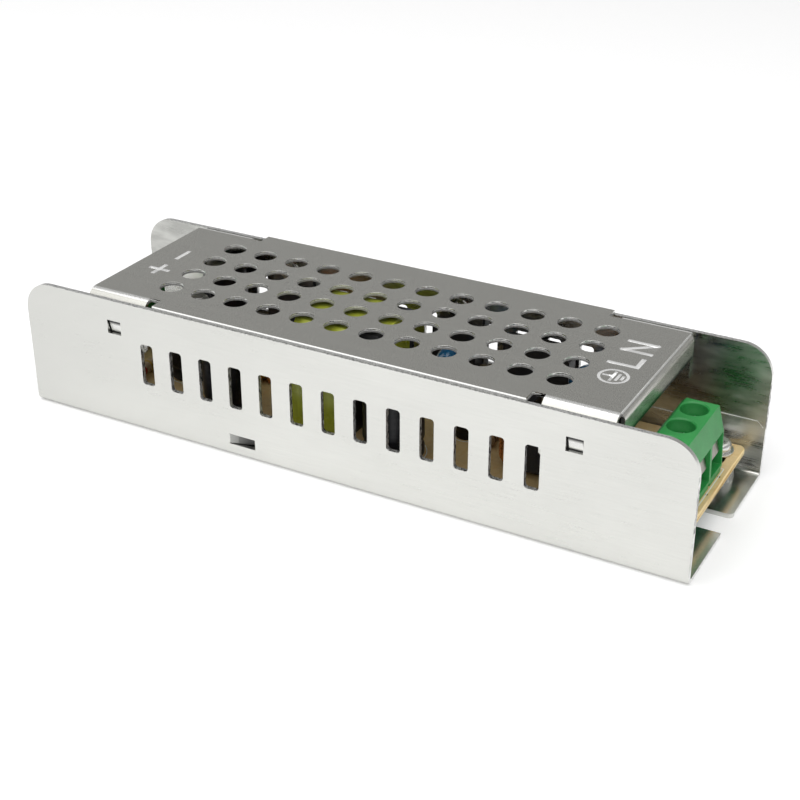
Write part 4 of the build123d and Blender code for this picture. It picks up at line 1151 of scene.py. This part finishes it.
@dataclass
class TerminalBlock:
    """One row of rising-cage terminals."""

    end: str
    poles: int
    moulding_edge: float = 0.14 * MM
    contact_edge: float = 0.08 * MM
    clamp_edge: float = 0.07 * MM

    def build(self) -> None:
        """Builds the housing, the fixed contacts, the screws and the cages."""
        housing = merged_copy(f"{self.end}_terminal_housing")
        break_edges(housing, self.moulding_edge, 40.0, 2)
        placed(f"{self.end}_terminal_body", housing, "root", ["terminal_green"],
               [f"{self.end}_terminal_housing"])
        contacts = merged_copy(f"{self.end}_terminal_contacts")
        paint(contacts, lambda middle, normal: 1)
        break_edges(contacts, self.contact_edge, 40.0, 2)
        placed(f"{self.end}_contact_strips", contacts, "root", ["tinned_copper", "dull_tin"],
               [f"{self.end}_terminal_contacts"])
        for index in range(1, self.poles + 1):
            for kind, slot in (("screw", "zinc_steel"), ("cage", "nickel_plate")):
                node = f"{self.end}_{kind}_{index}"
                metal = merged_copy(node)
                break_edges(metal, self.clamp_edge, 40.0, 2)
                placed(f"{self.end}_clamp_{kind}_{index}", metal, node, [slot], [node])


def dress(node: str) -> None:
    """Gives a CAD node that is shown as it is its procedural material.

    Args:
        node: Name of the CAD node.
    """
    shown = frame["nodes"][node]
    shown.data.materials.clear()
    shown.data.materials.append(FINISHES.get(SLOTS[node]))
    LOG.info("%s: dressed", node)


def softened(node: str, width: float, slots: Sequence[str] = (), rule: Optional[Rule] = None,
             angle: float = 40.0, body: str = "root") -> None:
    """Replaces a CAD node by a copy with rounded edges and one or more finishes.

    Args:
        node: Name of the CAD node.
        width: Width of the edge rounding, in metres.
        slots: Finishes, the node's own slot by default.
        rule: Chooses the finish of each face.
        angle: Smallest angle that counts as sharp, in degrees.
        body: Body that carries the piece.
    """
    mesh = merged_copy(node)
    if rule is not None:
        paint(mesh, rule)
    if width:
        break_edges(mesh, width, angle, 2)
    placed(f"{node}_piece", mesh, body, list(slots) or [SLOTS[node]], [node])


@dataclass
class Board:
    """Circuit board with its printed outlines, screws and solder joints."""

    joint_radius: float = 1.1 * MM
    joint_height: float = 0.75 * MM
    lead_end: float = 3.9 * MM
    lead_apart: float = 0.9 * MM
    print_line: float = 0.2 * MM
    print_rise: float = 0.02 * MM
    print_margin: float = 0.35 * MM
    pilot_start: float = 70.25 * MM
    pilot_end: float = 71.15 * MM
    pilot_half_width: float = 12.0 * MM
    outlined: Tuple[str, ...] = ("bulk_capacitor", "output_capacitor_1", "output_capacitor_2",
                                 "output_capacitor_3", "supply_capacitor", "x_capacitor",
                                 "input_terminal_housing", "output_terminal_housing", "varistor",
                                 "thermistor", "y_capacitor")

    def build(self) -> None:
        """Builds the board's pieces."""
        softened("circuit_board", 0.08 * MM, ["board_laminate", "black_epoxy"], self.bored, 60.0)
        softened("board_screws", 0.1 * MM)
        softened("board_washers", 0.08 * MM)
        self.solder()
        self.outlines()

    def outlines(self) -> None:
        """Prints a plain outline round the larger parts, without any letter."""
        mesh = bmesh.new()
        line, rise, margin = self.print_line, self.print_rise, self.print_margin
        lowest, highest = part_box("circuit_board")
        for node in self.outlined:
            low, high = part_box(node)
            if "capacitor" in node and node != "x_capacitor":
                radius = (high.x - low.x) / 2 + margin
                profile = [(radius, 0.0), (radius, rise), (radius + line, rise), (radius + line, 0.0),
                           (radius, 0.0)]
                ringed(mesh, profile, ((low.x + high.x) / 2, (low.y + high.y) / 2, BOARD_TOP), 40)
                continue
            x0, x1 = max(low.x - margin, lowest.x + margin), min(high.x + margin, highest.x - margin)
            y0, y1 = max(low.y - margin, lowest.y + margin), min(high.y + margin, highest.y - margin)
            middle = Vector(((x0 + x1) / 2, (y0 + y1) / 2, BOARD_TOP + rise / 2))
            across = y1 - y0 - line
            for x, y, wide, deep in ((middle.x, y0, x1 - x0, line), (middle.x, y1, x1 - x0, line),
                                     (x0, middle.y, line, across), (x1, middle.y, line, across)):
                place = Matrix.Translation((x, y, middle.z)) @ Matrix.Diagonal((wide, deep, rise, 1.0))
                bmesh.ops.create_cube(mesh, size=1.0, matrix=place)
        placed("printed_outlines", mesh, "root", ["silkscreen"], smooth=30.0)

    def bored(self, middle: Vector, normal: Vector) -> int:
        """Finish of a face: black inside the small holes before the mains terminals, as painted shade.

        Args:
            middle: Middle of the face.
            normal: Direction of the face.

        Returns:
            Index of the finish.
        """
        # Painted shade: the walls of these holes get the black finish.
        pilot = self.pilot_start < middle.x < self.pilot_end and abs(middle.y) < self.pilot_half_width
        return 1 if pilot and abs(normal.z) < 0.5 else 0

    def lead_centres(self) -> List[Tuple[float, float]]:
        """Finds all leads that stand out below the board.

        Returns:
            Their places, each once.
        """
        found: List[Tuple[float, float]] = []
        skipped = ("chassis", "board_screws", "insulation_film", "cover", "circuit_board",
                   "board_washers")
        for node in sorted(frame["nodes"]):
            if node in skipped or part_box(node)[0].z > BOARD_UNDERSIDE:
                continue
            mesh = bmesh.new()
            mesh.from_mesh(frame["nodes"][node].data)
            bmesh.ops.remove_doubles(mesh, verts=mesh.verts, dist=2e-6)
            for face in mesh.faces:
                centre = face.calc_center_median()
                if centre.z > self.lead_end or face.normal.z > -0.9:
                    continue
                if all(math.hypot(centre.x - x, centre.y - y) > self.lead_apart for x, y in found):
                    found.append((centre.x, centre.y))
            mesh.free()
        return found

    def solder(self) -> None:
        """Adds a solder cone round each lead, under the board."""
        mesh = bmesh.new()
        cone = ((1.0, 0.0), (0.72, 0.3), (0.5, 0.7), (0.36, 1.1), (0.0, 1.2))
        outline = [(self.joint_radius * wide, -self.joint_height * deep) for wide, deep in cone]
        for x, y in self.lead_centres():
            ringed(mesh, outline, (x, y, BOARD_UNDERSIDE), 14)
        placed("solder_joints", mesh, "root", ["solder"], smooth=60.0)


@dataclass
class RoundCan:
    """Electrolytic capacitor: sleeve, rolled groove, scored top, polarity stripe and bung."""

    node: str
    stripe_turn: float
    steps: int = 48
    stripe_half_angle: float = 0.42
    dash_half_angle: float = 0.13
    dashes: float = 9.0
    score_turn: float = 0.6
    score_width: float = 0.35 * MM
    score_depth: float = 0.12 * MM
    bung_height: float = 0.3 * MM

    def build(self) -> None:
        """Builds the capacitor in place of its CAD node."""
        low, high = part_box(self.node)
        leads = merged_copy(self.node)
        base = BOARD_TOP
        centre = ((low.x + high.x) / 2, (low.y + high.y) / 2, base)
        radius = (high.x - low.x) / 2
        height = high.z - base
        bmesh.ops.delete(leads, geom=[face for face in leads.faces
                                      if face.calc_center_median().z > base + 1e-5], context="FACES")
        loose = [vert for vert in leads.verts if not vert.link_faces]
        bmesh.ops.delete(leads, geom=loose, context="VERTS")
        paint(leads, lambda middle, normal: 3)
        dent = radius * 0.06
        groove = height * 0.14
        outline = [(radius * 0.8, 0.0), (radius - dent, 0.0), (radius, dent), (radius, groove - 3 * dent),
                   (radius - dent * 0.7, groove - dent), (radius - dent, groove),
                   (radius - dent * 0.7, groove + dent), (radius, groove + 3 * dent)]
        rise = groove + 3 * dent
        for step in range(1, 10):
            outline.append((radius, rise + (height - 2 * dent - rise) * step / 9))
        outline += [(radius - dent * 0.3, height - dent), (radius - dent, height - dent * 0.2),
                    (radius - 2 * dent, height - dent * 0.05), (radius - 2.3 * dent, height - dent * 0.6),
                    (radius - 3 * dent, height - 1.2 * dent)]
        ringed(leads, outline, centre, self.steps)
        top = [(radius - 3 * dent, height - 1.2 * dent), (radius - 3.6 * dent, height - 1.3 * dent),
               (0.0, height - 1.3 * dent)]
        metal = set(ringed(leads, top, centre, self.steps))
        bung = [(0.0, self.bung_height), (radius * 0.8, self.bung_height), (radius * 0.8, 0.0)]
        rubber = set(ringed(leads, bung, centre, self.steps))
        for face in leads.faces:
            middle = face.calc_center_median()
            if face in metal:
                face.material_index = 1
            elif face in rubber:
                face.material_index = 4
            elif face.material_index != 3:
                around = math.atan2(middle.y - centre[1], middle.x - centre[0]) - self.stripe_turn
                around = abs((around + math.pi) % math.tau - math.pi)
                share = (middle.z - base) / height
                dash = (share * self.dashes) % 1.0 < 0.5 and around < self.dash_half_angle
                if around < self.stripe_half_angle and share < 0.93 and not dash:
                    face.material_index = 2
        bmesh.ops.remove_doubles(leads, verts=leads.verts, dist=1e-6)
        cutters = []
        reach = (radius - 3.6 * dent) * 0.62
        level = base + height - 1.3 * dent
        for turn in (self.score_turn, self.score_turn + math.pi / 2):
            cutter = bmesh.new()
            out = Vector((math.cos(turn), math.sin(turn), 0.0)) * reach
            middle = Vector((centre[0], centre[1], level))
            trough(cutter, middle - out, middle + out, self.score_width, self.score_depth)
            cutters.append(cutter)
        placed(f"{self.node}_can", scored(leads, cutters, level), "root",
               ["black_sleeve", "can_top", "sleeve_stripe", "tinned_copper", "rubber_bung"], [self.node])


def scored(mesh: bmesh.types.BMesh, cutters: Sequence[bmesh.types.BMesh],
           level: float) -> bmesh.types.BMesh:
    """Lays score lines on a can's top as narrow sunk strips.

    Args:
        mesh: The can.
        cutters: Troughs whose tops lie at the level.
        level: Height of the can's top.

    Returns:
        The can with the strips.
    """
    for cutter in cutters:
        top = [face for face in cutter.faces if face.calc_center_median().z > level + 1e-6]
        bmesh.ops.delete(cutter, geom=top, context="FACES")
        for vert in cutter.verts:
            vert.co.z = min(vert.co.z, level) + 0.00003
        data = bpy.data.meshes.new("score")
        for face in cutter.faces:
            face.material_index = 1
            face.normal_flip()
        cutter.to_mesh(data)
        cutter.free()
        mesh.from_mesh(data)
        bpy.data.meshes.remove(data)
    return mesh


@dataclass
class RingWinding:
    """Round wire wound on a ring core in close turns."""

    node: str
    core: str
    wire: float
    angles: Tuple[float, ...]
    sections: int = 8
    lead_end: float = 3.8 * MM
    lead_radius: float = 0.35 * MM
    lead_taper: float = 0.05 * MM

    def turn(self, mesh: bmesh.types.BMesh, inner: float, outer: float, height: float,
             corner: float, centre: Vector) -> List[bmesh.types.BMVert]:
        """Adds one closed turn of wire in the X-Z plane.

        Args:
            mesh: The mesh to add to.
            inner: Radius of the wire's middle line in the bore.
            outer: Radius of the wire's middle line outside.
            height: Height of the middle line above the core's middle.
            corner: Radius of the middle line's corners.
            centre: Middle of the core.

        Returns:
            The new corners.
        """
        before = set(mesh.verts)
        start = Vector((inner, 0.0, -height + corner))
        ring = bmesh.ops.create_circle(mesh, segments=self.sections, radius=self.wire / 2)["verts"]
        bmesh.ops.translate(mesh, verts=ring, vec=start)
        edges = list({edge for vert in ring for edge in vert.link_edges})
        spans = ((0.0, 0.0, 2 * (height - corner)), (outer - inner - 2 * corner, 0.0, 0.0),
                 (0.0, 0.0, -2 * (height - corner)), (-(outer - inner - 2 * corner), 0.0, 0.0))
        pivots = ((inner + corner, height - corner), (outer - corner, height - corner),
                  (outer - corner, -height + corner), (inner + corner, -height + corner))
        for span, (pivot_x, pivot_z) in zip(spans, pivots):
            grown = bmesh.ops.extrude_edge_only(mesh, edges=edges)["geom"]
            verts = [item for item in grown if isinstance(item, bmesh.types.BMVert)]
            bmesh.ops.translate(mesh, verts=verts, vec=span)
            edges = [item for item in grown if isinstance(item, bmesh.types.BMEdge)]
            spun = bmesh.ops.spin(mesh, geom=verts + edges, cent=(pivot_x, 0.0, pivot_z),
                                  axis=(0.0, 1.0, 0.0), dvec=(0.0, 0.0, 0.0), angle=math.pi / 2,
                                  steps=3, use_merge=False, use_duplicate=False)["geom_last"]
            edges = [item for item in spun if isinstance(item, bmesh.types.BMEdge)]
        made = [vert for vert in mesh.verts if vert not in before]
        bmesh.ops.remove_doubles(mesh, verts=made, dist=1e-6)
        made = [vert for vert in mesh.verts if vert not in before]
        bmesh.ops.translate(mesh, verts=made, vec=centre)
        return made

    def build(self) -> None:
        """Builds the winding in place of its CAD node, keeping that node's leads."""
        low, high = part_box(self.core)
        centre = (low + high) / 2
        outer = (high.x - low.x) / 2
        bore = self.bore(centre)
        mesh = merged_copy(self.node)
        leads = lead_places(self.node)
        bmesh.ops.delete(mesh, geom=list(mesh.faces), context="FACES")
        bmesh.ops.delete(mesh, geom=list(mesh.verts), context="VERTS")
        half = self.wire / 2
        for angle in self.angles:
            made = self.turn(mesh, bore - half, outer + half, (high.z - low.z) / 2 + half,
                             1.1 * self.wire, Vector())
            turn = Matrix.Translation(centre) @ Matrix.Rotation(math.radians(angle), 4, "Z")
            bmesh.ops.transform(mesh, verts=made, matrix=turn)
        for x, y in leads:
            outline = [(0.0, self.lead_end), (self.lead_radius, self.lead_end + self.lead_taper),
                       (self.lead_radius, centre.z), (0.0, centre.z)]
            ringed(mesh, outline, (x, y, 0.0), 12)
        bmesh.ops.recalc_face_normals(mesh, faces=mesh.faces)
        placed(f"{self.node}_wire", mesh, "root", ["enamelled_copper"], [self.node], 80.0)

    def bore(self, centre: Vector) -> float:
        """Radius of the core's bore.

        Args:
            centre: Middle of the core.

        Returns:
            The radius, in metres.
        """
        data = frame["nodes"][self.core].data
        return min(math.hypot(vert.co.x - centre.x, vert.co.y - centre.y) for vert in data.vertices)


def lead_places(node: str) -> List[Tuple[float, float]]:
    """Places of a node's leads at their lowest ends.

    Args:
        node: Name of the CAD node.

    Returns:
        The places.
    """
    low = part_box(node)[0].z
    found: List[Tuple[float, float]] = []
    groups: List[List[Vector]] = []
    for vert in frame["nodes"][node].data.vertices:
        if vert.co.z > low + 0.05 * MM:
            continue
        for group in groups:
            if (group[0] - vert.co).length < 1.2 * MM:
                group.append(vert.co.copy())
                break
        else:
            groups.append([vert.co.copy()])
    for group in groups:
        xs = [point.x for point in group]
        ys = [point.y for point in group]
        found.append(((min(xs) + max(xs)) / 2, (min(ys) + max(ys)) / 2))
    return found


@dataclass
class Transformer:
    """Ferrite core on edge, bobbin, taped winding and the tapes round all of them."""

    core_edge: float = 0.3 * MM
    bobbin_edge: float = 0.12 * MM
    pin_top: float = 6.55 * MM
    tape: float = 0.07 * MM
    tape_step: float = 0.12 * MM
    margin: float = 0.9 * MM
    core_band: float = 11.0 * MM
    bore_half_width: float = 8.7 * MM
    bore_half_height: float = 4.4 * MM
    fold: float = 0.35 * MM
    shoulder: float = 2.3 * MM
    foot: float = 6.74 * MM

    def build(self) -> None:
        """Builds the transformer's pieces."""
        for node in ("transformer_core_left", "transformer_core_right"):
            softened(node, self.core_edge)
        softened("transformer_bobbin", self.bobbin_edge,
                 rule=lambda middle, normal: 1 if middle.z < self.pin_top else 0,
                 slots=["bobbin_plastic", "tinned_copper"])
        self.winding()
        self.wraps()

    def winding(self) -> None:
        """Builds the taped winding with its stepped tape edges."""
        low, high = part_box("transformer_winding")
        mesh = merged_copy("transformer_winding")
        middle = (low + high) / 2
        for offset in (self.margin, 2.1 * self.margin):
            for side in (-1.0, 1.0):
                plane = Vector(((low.x if side < 0 else high.x) - side * offset, 0.0, 0.0))
                bmesh.ops.bisect_plane(mesh, geom=list(mesh.verts) + list(mesh.edges) + list(mesh.faces),
                                       plane_co=plane, plane_no=(1.0, 0.0, 0.0), dist=1e-7)
        for vert in mesh.verts:
            outward = Vector((0.0, vert.co.y - middle.y, vert.co.z - middle.z))
            if abs(outward.y) < self.bore_half_width and abs(outward.z) < self.bore_half_height:
                continue
            inset = min(vert.co.x - low.x, high.x - vert.co.x)
            if inset < 0.3 * self.margin:
                vert.co -= outward.normalized() * self.tape_step * 3.0
            elif inset < 1.5 * self.margin:
                vert.co -= outward.normalized() * self.tape_step
        break_edges(mesh, 0.06 * MM, 40.0, 2)
        placed("taped_winding", mesh, "root", ["lime_tape"], ["transformer_winding"])

    def wraps(self) -> None:
        """Adds the tape round the core's outside and the outer tape round core and winding."""
        left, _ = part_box("transformer_core_left")
        _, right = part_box("transformer_core_right")
        low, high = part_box("transformer_winding")
        gap = 0.03 * MM
        x0, x1 = left.x - gap, right.x + gap
        z0, z1 = left.z - gap, right.z + gap
        fold = self.fold
        round_core = [(x0 + fold, z0), (x1 - fold, z0), (x1, z0 + fold), (x1, z1 - fold),
                      (x1 - fold, z1), (x0 + fold, z1), (x0, z1 - fold), (x0, z0 + fold)]
        middle = (left.y + right.y) / 2
        ends = (middle - self.core_band / 2, middle + self.core_band / 2)
        self.band("core_tape", [Vector((x, 0.0, z)) for x, z in round_core], Axis.Y, ends)
        over = self.tape * 1.6
        y0, y1 = low.y - gap - over, high.y + gap + over
        c0, c1 = left.y - gap, right.y + gap
        top = high.z - self.shoulder
        round_all = [(c0, z0 - over), (c1, z0 - over), (y1, self.foot), (y1, top),
                     (c1 + 0.4 * MM, z1 + self.tape * 0.4), (c1 - 0.2 * MM, z1 + over),
                     (c0 + 0.2 * MM, z1 + over), (c0 - 0.4 * MM, z1 + self.tape * 0.4),
                     (y0, top), (y0, self.foot)]
        self.band("outer_tape", [Vector((0.0, y, z)) for y, z in round_all], Axis.X,
                  (low.x + 0.15 * MM, high.x - 0.15 * MM))

    def band(self, name: str, points: Sequence[Vector], axis: Axis, ends: Tuple[float, float]) -> None:
        """Adds a closed band of tape.

        Args:
            name: Name of the piece.
            points: Corners of the band's inner line, in order.
            axis: Axis along the band's width.
            ends: The band's two edges along that axis.
        """
        mesh = bmesh.new()
        low, high = ends
        corners = [mesh.verts.new(point + axis.vector() * low) for point in points]
        edges = [mesh.edges.new(pair) for pair in zip(corners, corners[1:] + corners[:1])]
        grown = bmesh.ops.extrude_edge_only(mesh, edges=edges)["geom"]
        moved = [item for item in grown if isinstance(item, bmesh.types.BMVert)]
        bmesh.ops.translate(mesh, verts=moved, vec=axis.vector() * (high - low))
        bmesh.ops.recalc_face_normals(mesh, faces=mesh.faces)
        bmesh.ops.solidify(mesh, geom=list(mesh.faces), thickness=-self.tape)
        bmesh.ops.recalc_face_normals(mesh, faces=mesh.faces)
        placed(name, mesh, "root", ["lime_tape"], smooth=50.0)


@dataclass
class BandedResistors:
    """Axial resistors with waisted bodies, colour bands and bent leads.

    The profile holds pairs of a place along the body and a radius there, the bands hold a start, an
    end and the index of a finish; both are in millimetres from the body's middle.
    """

    node: str = "resistors"
    steps: int = 24
    axis_depth: float = 1.5 * MM
    lead_reach: float = 0.42 * MM
    half_length: float = 4.3 * MM
    profile: Tuple[Tuple[float, float], ...] = (
        (-4.3, 0.0), (-4.3, 0.9), (-4.05, 1.28), (-3.7, 1.45), (-3.1, 1.5), (-2.5, 1.4), (-2.1, 1.25),
        (-1.7, 1.22), (-1.3, 1.22), (-0.9, 1.22), (-0.4, 1.22), (0.0, 1.22), (0.5, 1.22), (0.9, 1.22),
        (1.7, 1.22), (2.1, 1.25), (2.5, 1.4), (3.1, 1.5), (3.7, 1.45), (4.05, 1.28), (4.3, 0.9),
        (4.3, 0.0))
    bands: Tuple[Tuple[float, float, int], ...] = (
        (-3.1, -2.5, 2), (-1.7, -1.3, 3), (-0.9, -0.4, 2), (0.0, 0.5, 3), (2.1, 2.5, 4))

    def build(self) -> None:
        """Builds all three resistors in place of their CAD node."""
        mesh = merged_copy(self.node)
        self.leads_only(mesh)
        for face in mesh.faces:
            face.material_index = 1
        outline = [(radius * MM, place * MM) for place, radius in self.profile]
        for low, high in boxes_of(self.node):
            axis = Axis.X if high.x - low.x > high.y - low.y else Axis.Y
            middle = (low + high) / 2
            origin = (middle.x, middle.y, high.z - self.axis_depth)
            for face in ringed(mesh, outline, origin, self.steps, axis):
                along = (face.calc_center_median() - middle)[axis.value] / MM
                face.material_index = self.band(along)
        placed("banded_resistors", mesh, "root",
               ["resistor_lacquer", "tinned_copper", "band_brown", "band_red", "band_gold"], [self.node])

    def band(self, along: float) -> int:
        """Finish of the lacquer at a place along the body.

        Args:
            along: Millimetres from the middle.

        Returns:
            Index of the finish.
        """
        for start, end, finish in self.bands:
            if start < along < end:
                return finish
        return 0

    def leads_only(self, mesh: bmesh.types.BMesh) -> None:
        """Deletes the faces that belong to the bodies, so that only the leads stay.

        Args:
            mesh: The merged copy of the node.
        """
        room, close = 0.01 * MM, 0.04 * MM
        gone = []
        for low, high in boxes_of(self.node):
            middle = (low + high) / 2
            level = high.z - self.axis_depth
            lying_x = high.x - low.x > high.y - low.y
            for face in mesh.faces:
                centre = face.calc_center_median()
                if not (low.x - room <= centre.x <= high.x + room and
                        low.y - room <= centre.y <= high.y + room):
                    continue
                along, across = abs(centre.x - middle.x), abs(centre.y - middle.y)
                if not lying_x:
                    along, across = across, along
                if along > self.half_length + close:
                    continue
                if (math.hypot(across, centre.z - level) > self.lead_reach or
                        along > self.half_length - close):
                    gone.append(face)
        bmesh.ops.delete(mesh, geom=list(set(gone)), context="FACES")


@dataclass
class SmallParts:
    """The remaining parts on the board."""

    lead_reach: float = 0.4 * MM
    coating_end: float = 0.6 * MM
    box_lead_reach: float = 0.5 * MM
    box_lead_top: float = 6.9 * MM
    rectifier_lead_top: float = 9.65 * MM
    chip_half_width: float = 3.22 * MM
    device_low: float = 11.45 * MM
    device_high: float = 20.75 * MM
    tab_back: float = 20.25 * MM
    tab_front: float = 19.4 * MM
    fuse_depth: float = 1.9 * MM
    fuse_bottom: float = 3.85 * MM
    fuse_half_length: float = 5.01 * MM

    def build(self) -> None:
        """Builds the remaining parts, with metal leads where they have them."""
        self.coated("thermistor", "dark_epoxy")
        self.coated("varistor", "blue_epoxy")
        self.coated("y_capacitor", "blue_epoxy")
        softened("x_capacitor", 0.25 * MM, ["case_plastic", "tinned_copper"],
                 lambda middle, normal: 1 if middle.z < self.box_lead_top and
                 self.near_lead("x_capacitor", middle) else 0)
        softened("bridge_rectifier", 0.2 * MM, ["black_epoxy", "tinned_copper"],
                 lambda middle, normal: 1 if middle.z < self.rectifier_lead_top else 0)
        for node in ("power_transistor", "output_diode"):
            softened(node, 0.1 * MM, ["black_epoxy", "dull_tin"], self.device_rule)
        for node, slot in (("controller_chip", "black_epoxy"), ("optocoupler", "white_epoxy")):
            low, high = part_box(node)
            middle_y = (low.y + high.y) / 2
            softened(node, 0.06 * MM, [slot, "tinned_copper"],
                     lambda middle, normal, line=middle_y: 1 if abs(middle.y - line) > self.chip_half_width
                     else 0)
        for node in ("choke_core", "output_inductor_core", "device_pads"):
            dress(node)
        softened("device_screws", 0.1 * MM)
        self.fuse()

    def near_lead(self, node: str, place: Vector) -> bool:
        """Tells whether a place lies on one of a node's leads.

        Args:
            node: Name of the CAD node.
            place: The place.

        Returns:
            True close to a lead's line.
        """
        leads = lead_places(node)
        return any(math.hypot(place.x - x, place.y - y) < self.box_lead_reach for x, y in leads)

    def coated(self, node: str, slot: str) -> None:
        """Dresses a dipped disc: coating above, bare leads below.

        Args:
            node: Name of the CAD node.
            slot: Finish of the coating.
        """
        low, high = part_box(node)
        leads = lead_places(node)
        diameter = max(high.x - low.x, high.y - low.y)
        body_low = high.z - diameter

        def rule(middle: Vector, normal: Vector) -> int:
            """Metal only on the free part of the leads."""
            close = any(math.hypot(middle.x - x, middle.y - y) < self.lead_reach for x, y in leads)
            return 1 if close and middle.z < body_low + self.coating_end else 0

        softened(node, 0.0, [slot, "tinned_copper"], rule)

    def device_rule(self, middle: Vector, normal: Vector) -> int:
        """Metal on the tab and leads of a power device.

        Args:
            middle: Middle of the face.
            normal: Direction of the face.

        Returns:
            Index of the finish.
        """
        if middle.z < self.device_low or middle.z > self.device_high:
            return 1
        return 1 if middle.y > self.tab_back or (normal.y < -0.9 and middle.y > self.tab_front) else 0

    def fuse(self) -> None:
        """Dresses the fuse: brown body, metal leads."""
        low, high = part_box("input_fuse")
        middle = (low + high) / 2
        level, bottom = high.z - self.fuse_depth, high.z - self.fuse_bottom

        def rule(place: Vector, normal: Vector) -> int:
            """Metal off the body."""
            along = max(abs(place.x - middle.x), abs(place.y - middle.y))
            close = min(abs(place.x - middle.x), abs(place.y - middle.y))
            on_lead = math.hypot(close, place.z - level) < self.lead_reach
            return 1 if along > self.fuse_half_length or on_lead or place.z < bottom else 0

        softened("input_fuse", 0.0, ["brown_coating", "tinned_copper"], rule)


@dataclass
class Studio:
    """Floor, lights, world and camera."""

    lens: float = 67.47
    camera_place: Point = (0.1362, -0.2418, 0.1557)
    azimuth: float = 28.67
    elevation: float = 27.91
    room_radius: float = 4.0
    rim_height: float = 1.1

    def camera(self) -> None:
        """Adds the camera at the photo's place."""
        data = bpy.data.cameras.new("camera")
        data.lens = self.lens
        data.sensor_width = 36.0
        data.clip_start = 0.01
        camera = bpy.data.objects.new("camera", data)
        camera.location = self.camera_place
        camera.rotation_euler = (math.radians(90.0 - self.elevation), 0.0, math.radians(self.azimuth))
        bpy.context.scene.collection.objects.link(camera)
        bpy.context.scene.camera = camera

    def sweep(self) -> None:
        """Adds the floor, which curves up into a low rim far from the part."""
        mesh = bmesh.new()
        radius = self.room_radius
        outline = [(0.0, 0.0), (radius * 0.5, 0.0), (radius * 0.86, 0.0), (radius * 0.96, 0.06),
                   (radius, 0.25), (radius, self.rim_height)]
        ringed(mesh, outline, (0.0, 0.0, 0.0), 64)
        for face in mesh.faces:
            if face.calc_center_median().z < 0.01 and face.normal.z < 0.0:
                face.normal_flip()
        data = bpy.data.meshes.new("floor")
        mesh.to_mesh(data)
        mesh.free()
        for polygon in data.polygons:
            polygon.use_smooth = True
        floor = bpy.data.objects.new("floor", data)
        bpy.context.scene.collection.objects.link(floor)
        graph = Graph("floor_paper")
        tooth = graph.noise(900.0, 2.0, 0.5)
        path = graph.node("LightPath").outputs
        seen = graph.maths("MAXIMUM", path["Is Camera Ray"], path["Is Glossy Ray"])
        seen = graph.maths("MAXIMUM", seen, path["Is Transmission Ray"])
        lift = graph.product(seen, 0.16)
        data.materials.append(graph.finish(
            Base_Color=graph.mix(tooth, (0.90, 0.90, 0.90), (0.93, 0.93, 0.93)), Roughness=0.9,
            Emission_Color=(1.0, 1.0, 1.0), Emission_Strength=lift, Specular_IOR_Level=0.0))

    def light(self, name: str, place: Point, aim: Point, size: Tuple[float, float],
              power: float) -> None:
        """Adds one rectangular soft light.

        Args:
            name: Name of the light.
            place: Its middle, in metres.
            aim: Point it looks at.
            size: Its sides, in metres.
            power: Its power, in watts.
        """
        data = bpy.data.lights.new(name, "AREA")
        data.shape = "RECTANGLE"
        data.size, data.size_y = size
        data.energy = power
        lamp = bpy.data.objects.new(name, data)
        lamp.location = place
        lamp.rotation_euler = (Vector(aim) - Vector(place)).to_track_quat("-Z", "Y").to_euler()
        bpy.context.scene.collection.objects.link(lamp)

    def build(self) -> None:
        """Sets up everything that is not part of the object."""
        self.camera()
        self.sweep()
        self.light("overhead", (0.0, -0.35, 0.85), (0.0, 0.0, 0.0), (1.6, 1.3), 11.0)
        world = bpy.data.worlds.new("room")
        world.use_nodes = True
        world.node_tree.nodes["Background"].inputs["Color"].default_value = (0.42, 0.42, 0.42, 1.0)
        world.node_tree.nodes["Background"].inputs["Strength"].default_value = 1.0
        bpy.context.scene.world = world
        bpy.context.scene.view_settings.view_transform = "Standard"


def main() -> None:
    """Builds the part and its studio in order."""
    logging.basicConfig(level=logging.INFO, format="%(name)s: %(message)s")
    Case().build()
    Cover().build()
    TerminalBlock("input", 3).build()
    TerminalBlock("output", 2).build()
    Board().build()
    RoundCan("bulk_capacitor", 2.2).build()
    RoundCan("supply_capacitor", 0.4, 32).build()
    for index, turn in enumerate((1.2, 1.9, 1.6), start=1):
        RoundCan(f"output_capacitor_{index}", turn, 40).build()
    steps = [(index - 3.5) * 16.0 + 8.0 for index in range(8)]
    RingWinding("choke_windings", "choke_core", 1.0 * MM,
                tuple(steps + [180.0 + step for step in steps])).build()
    turns = tuple(180.0 + (index - 9) * 16.0 for index in range(19))
    RingWinding("output_inductor_winding", "output_inductor_core", 1.0 * MM, turns).build()
    Transformer().build()
    BandedResistors().build()
    SmallParts().build()
    Studio().build()


if __name__ == "__main__":
    main()
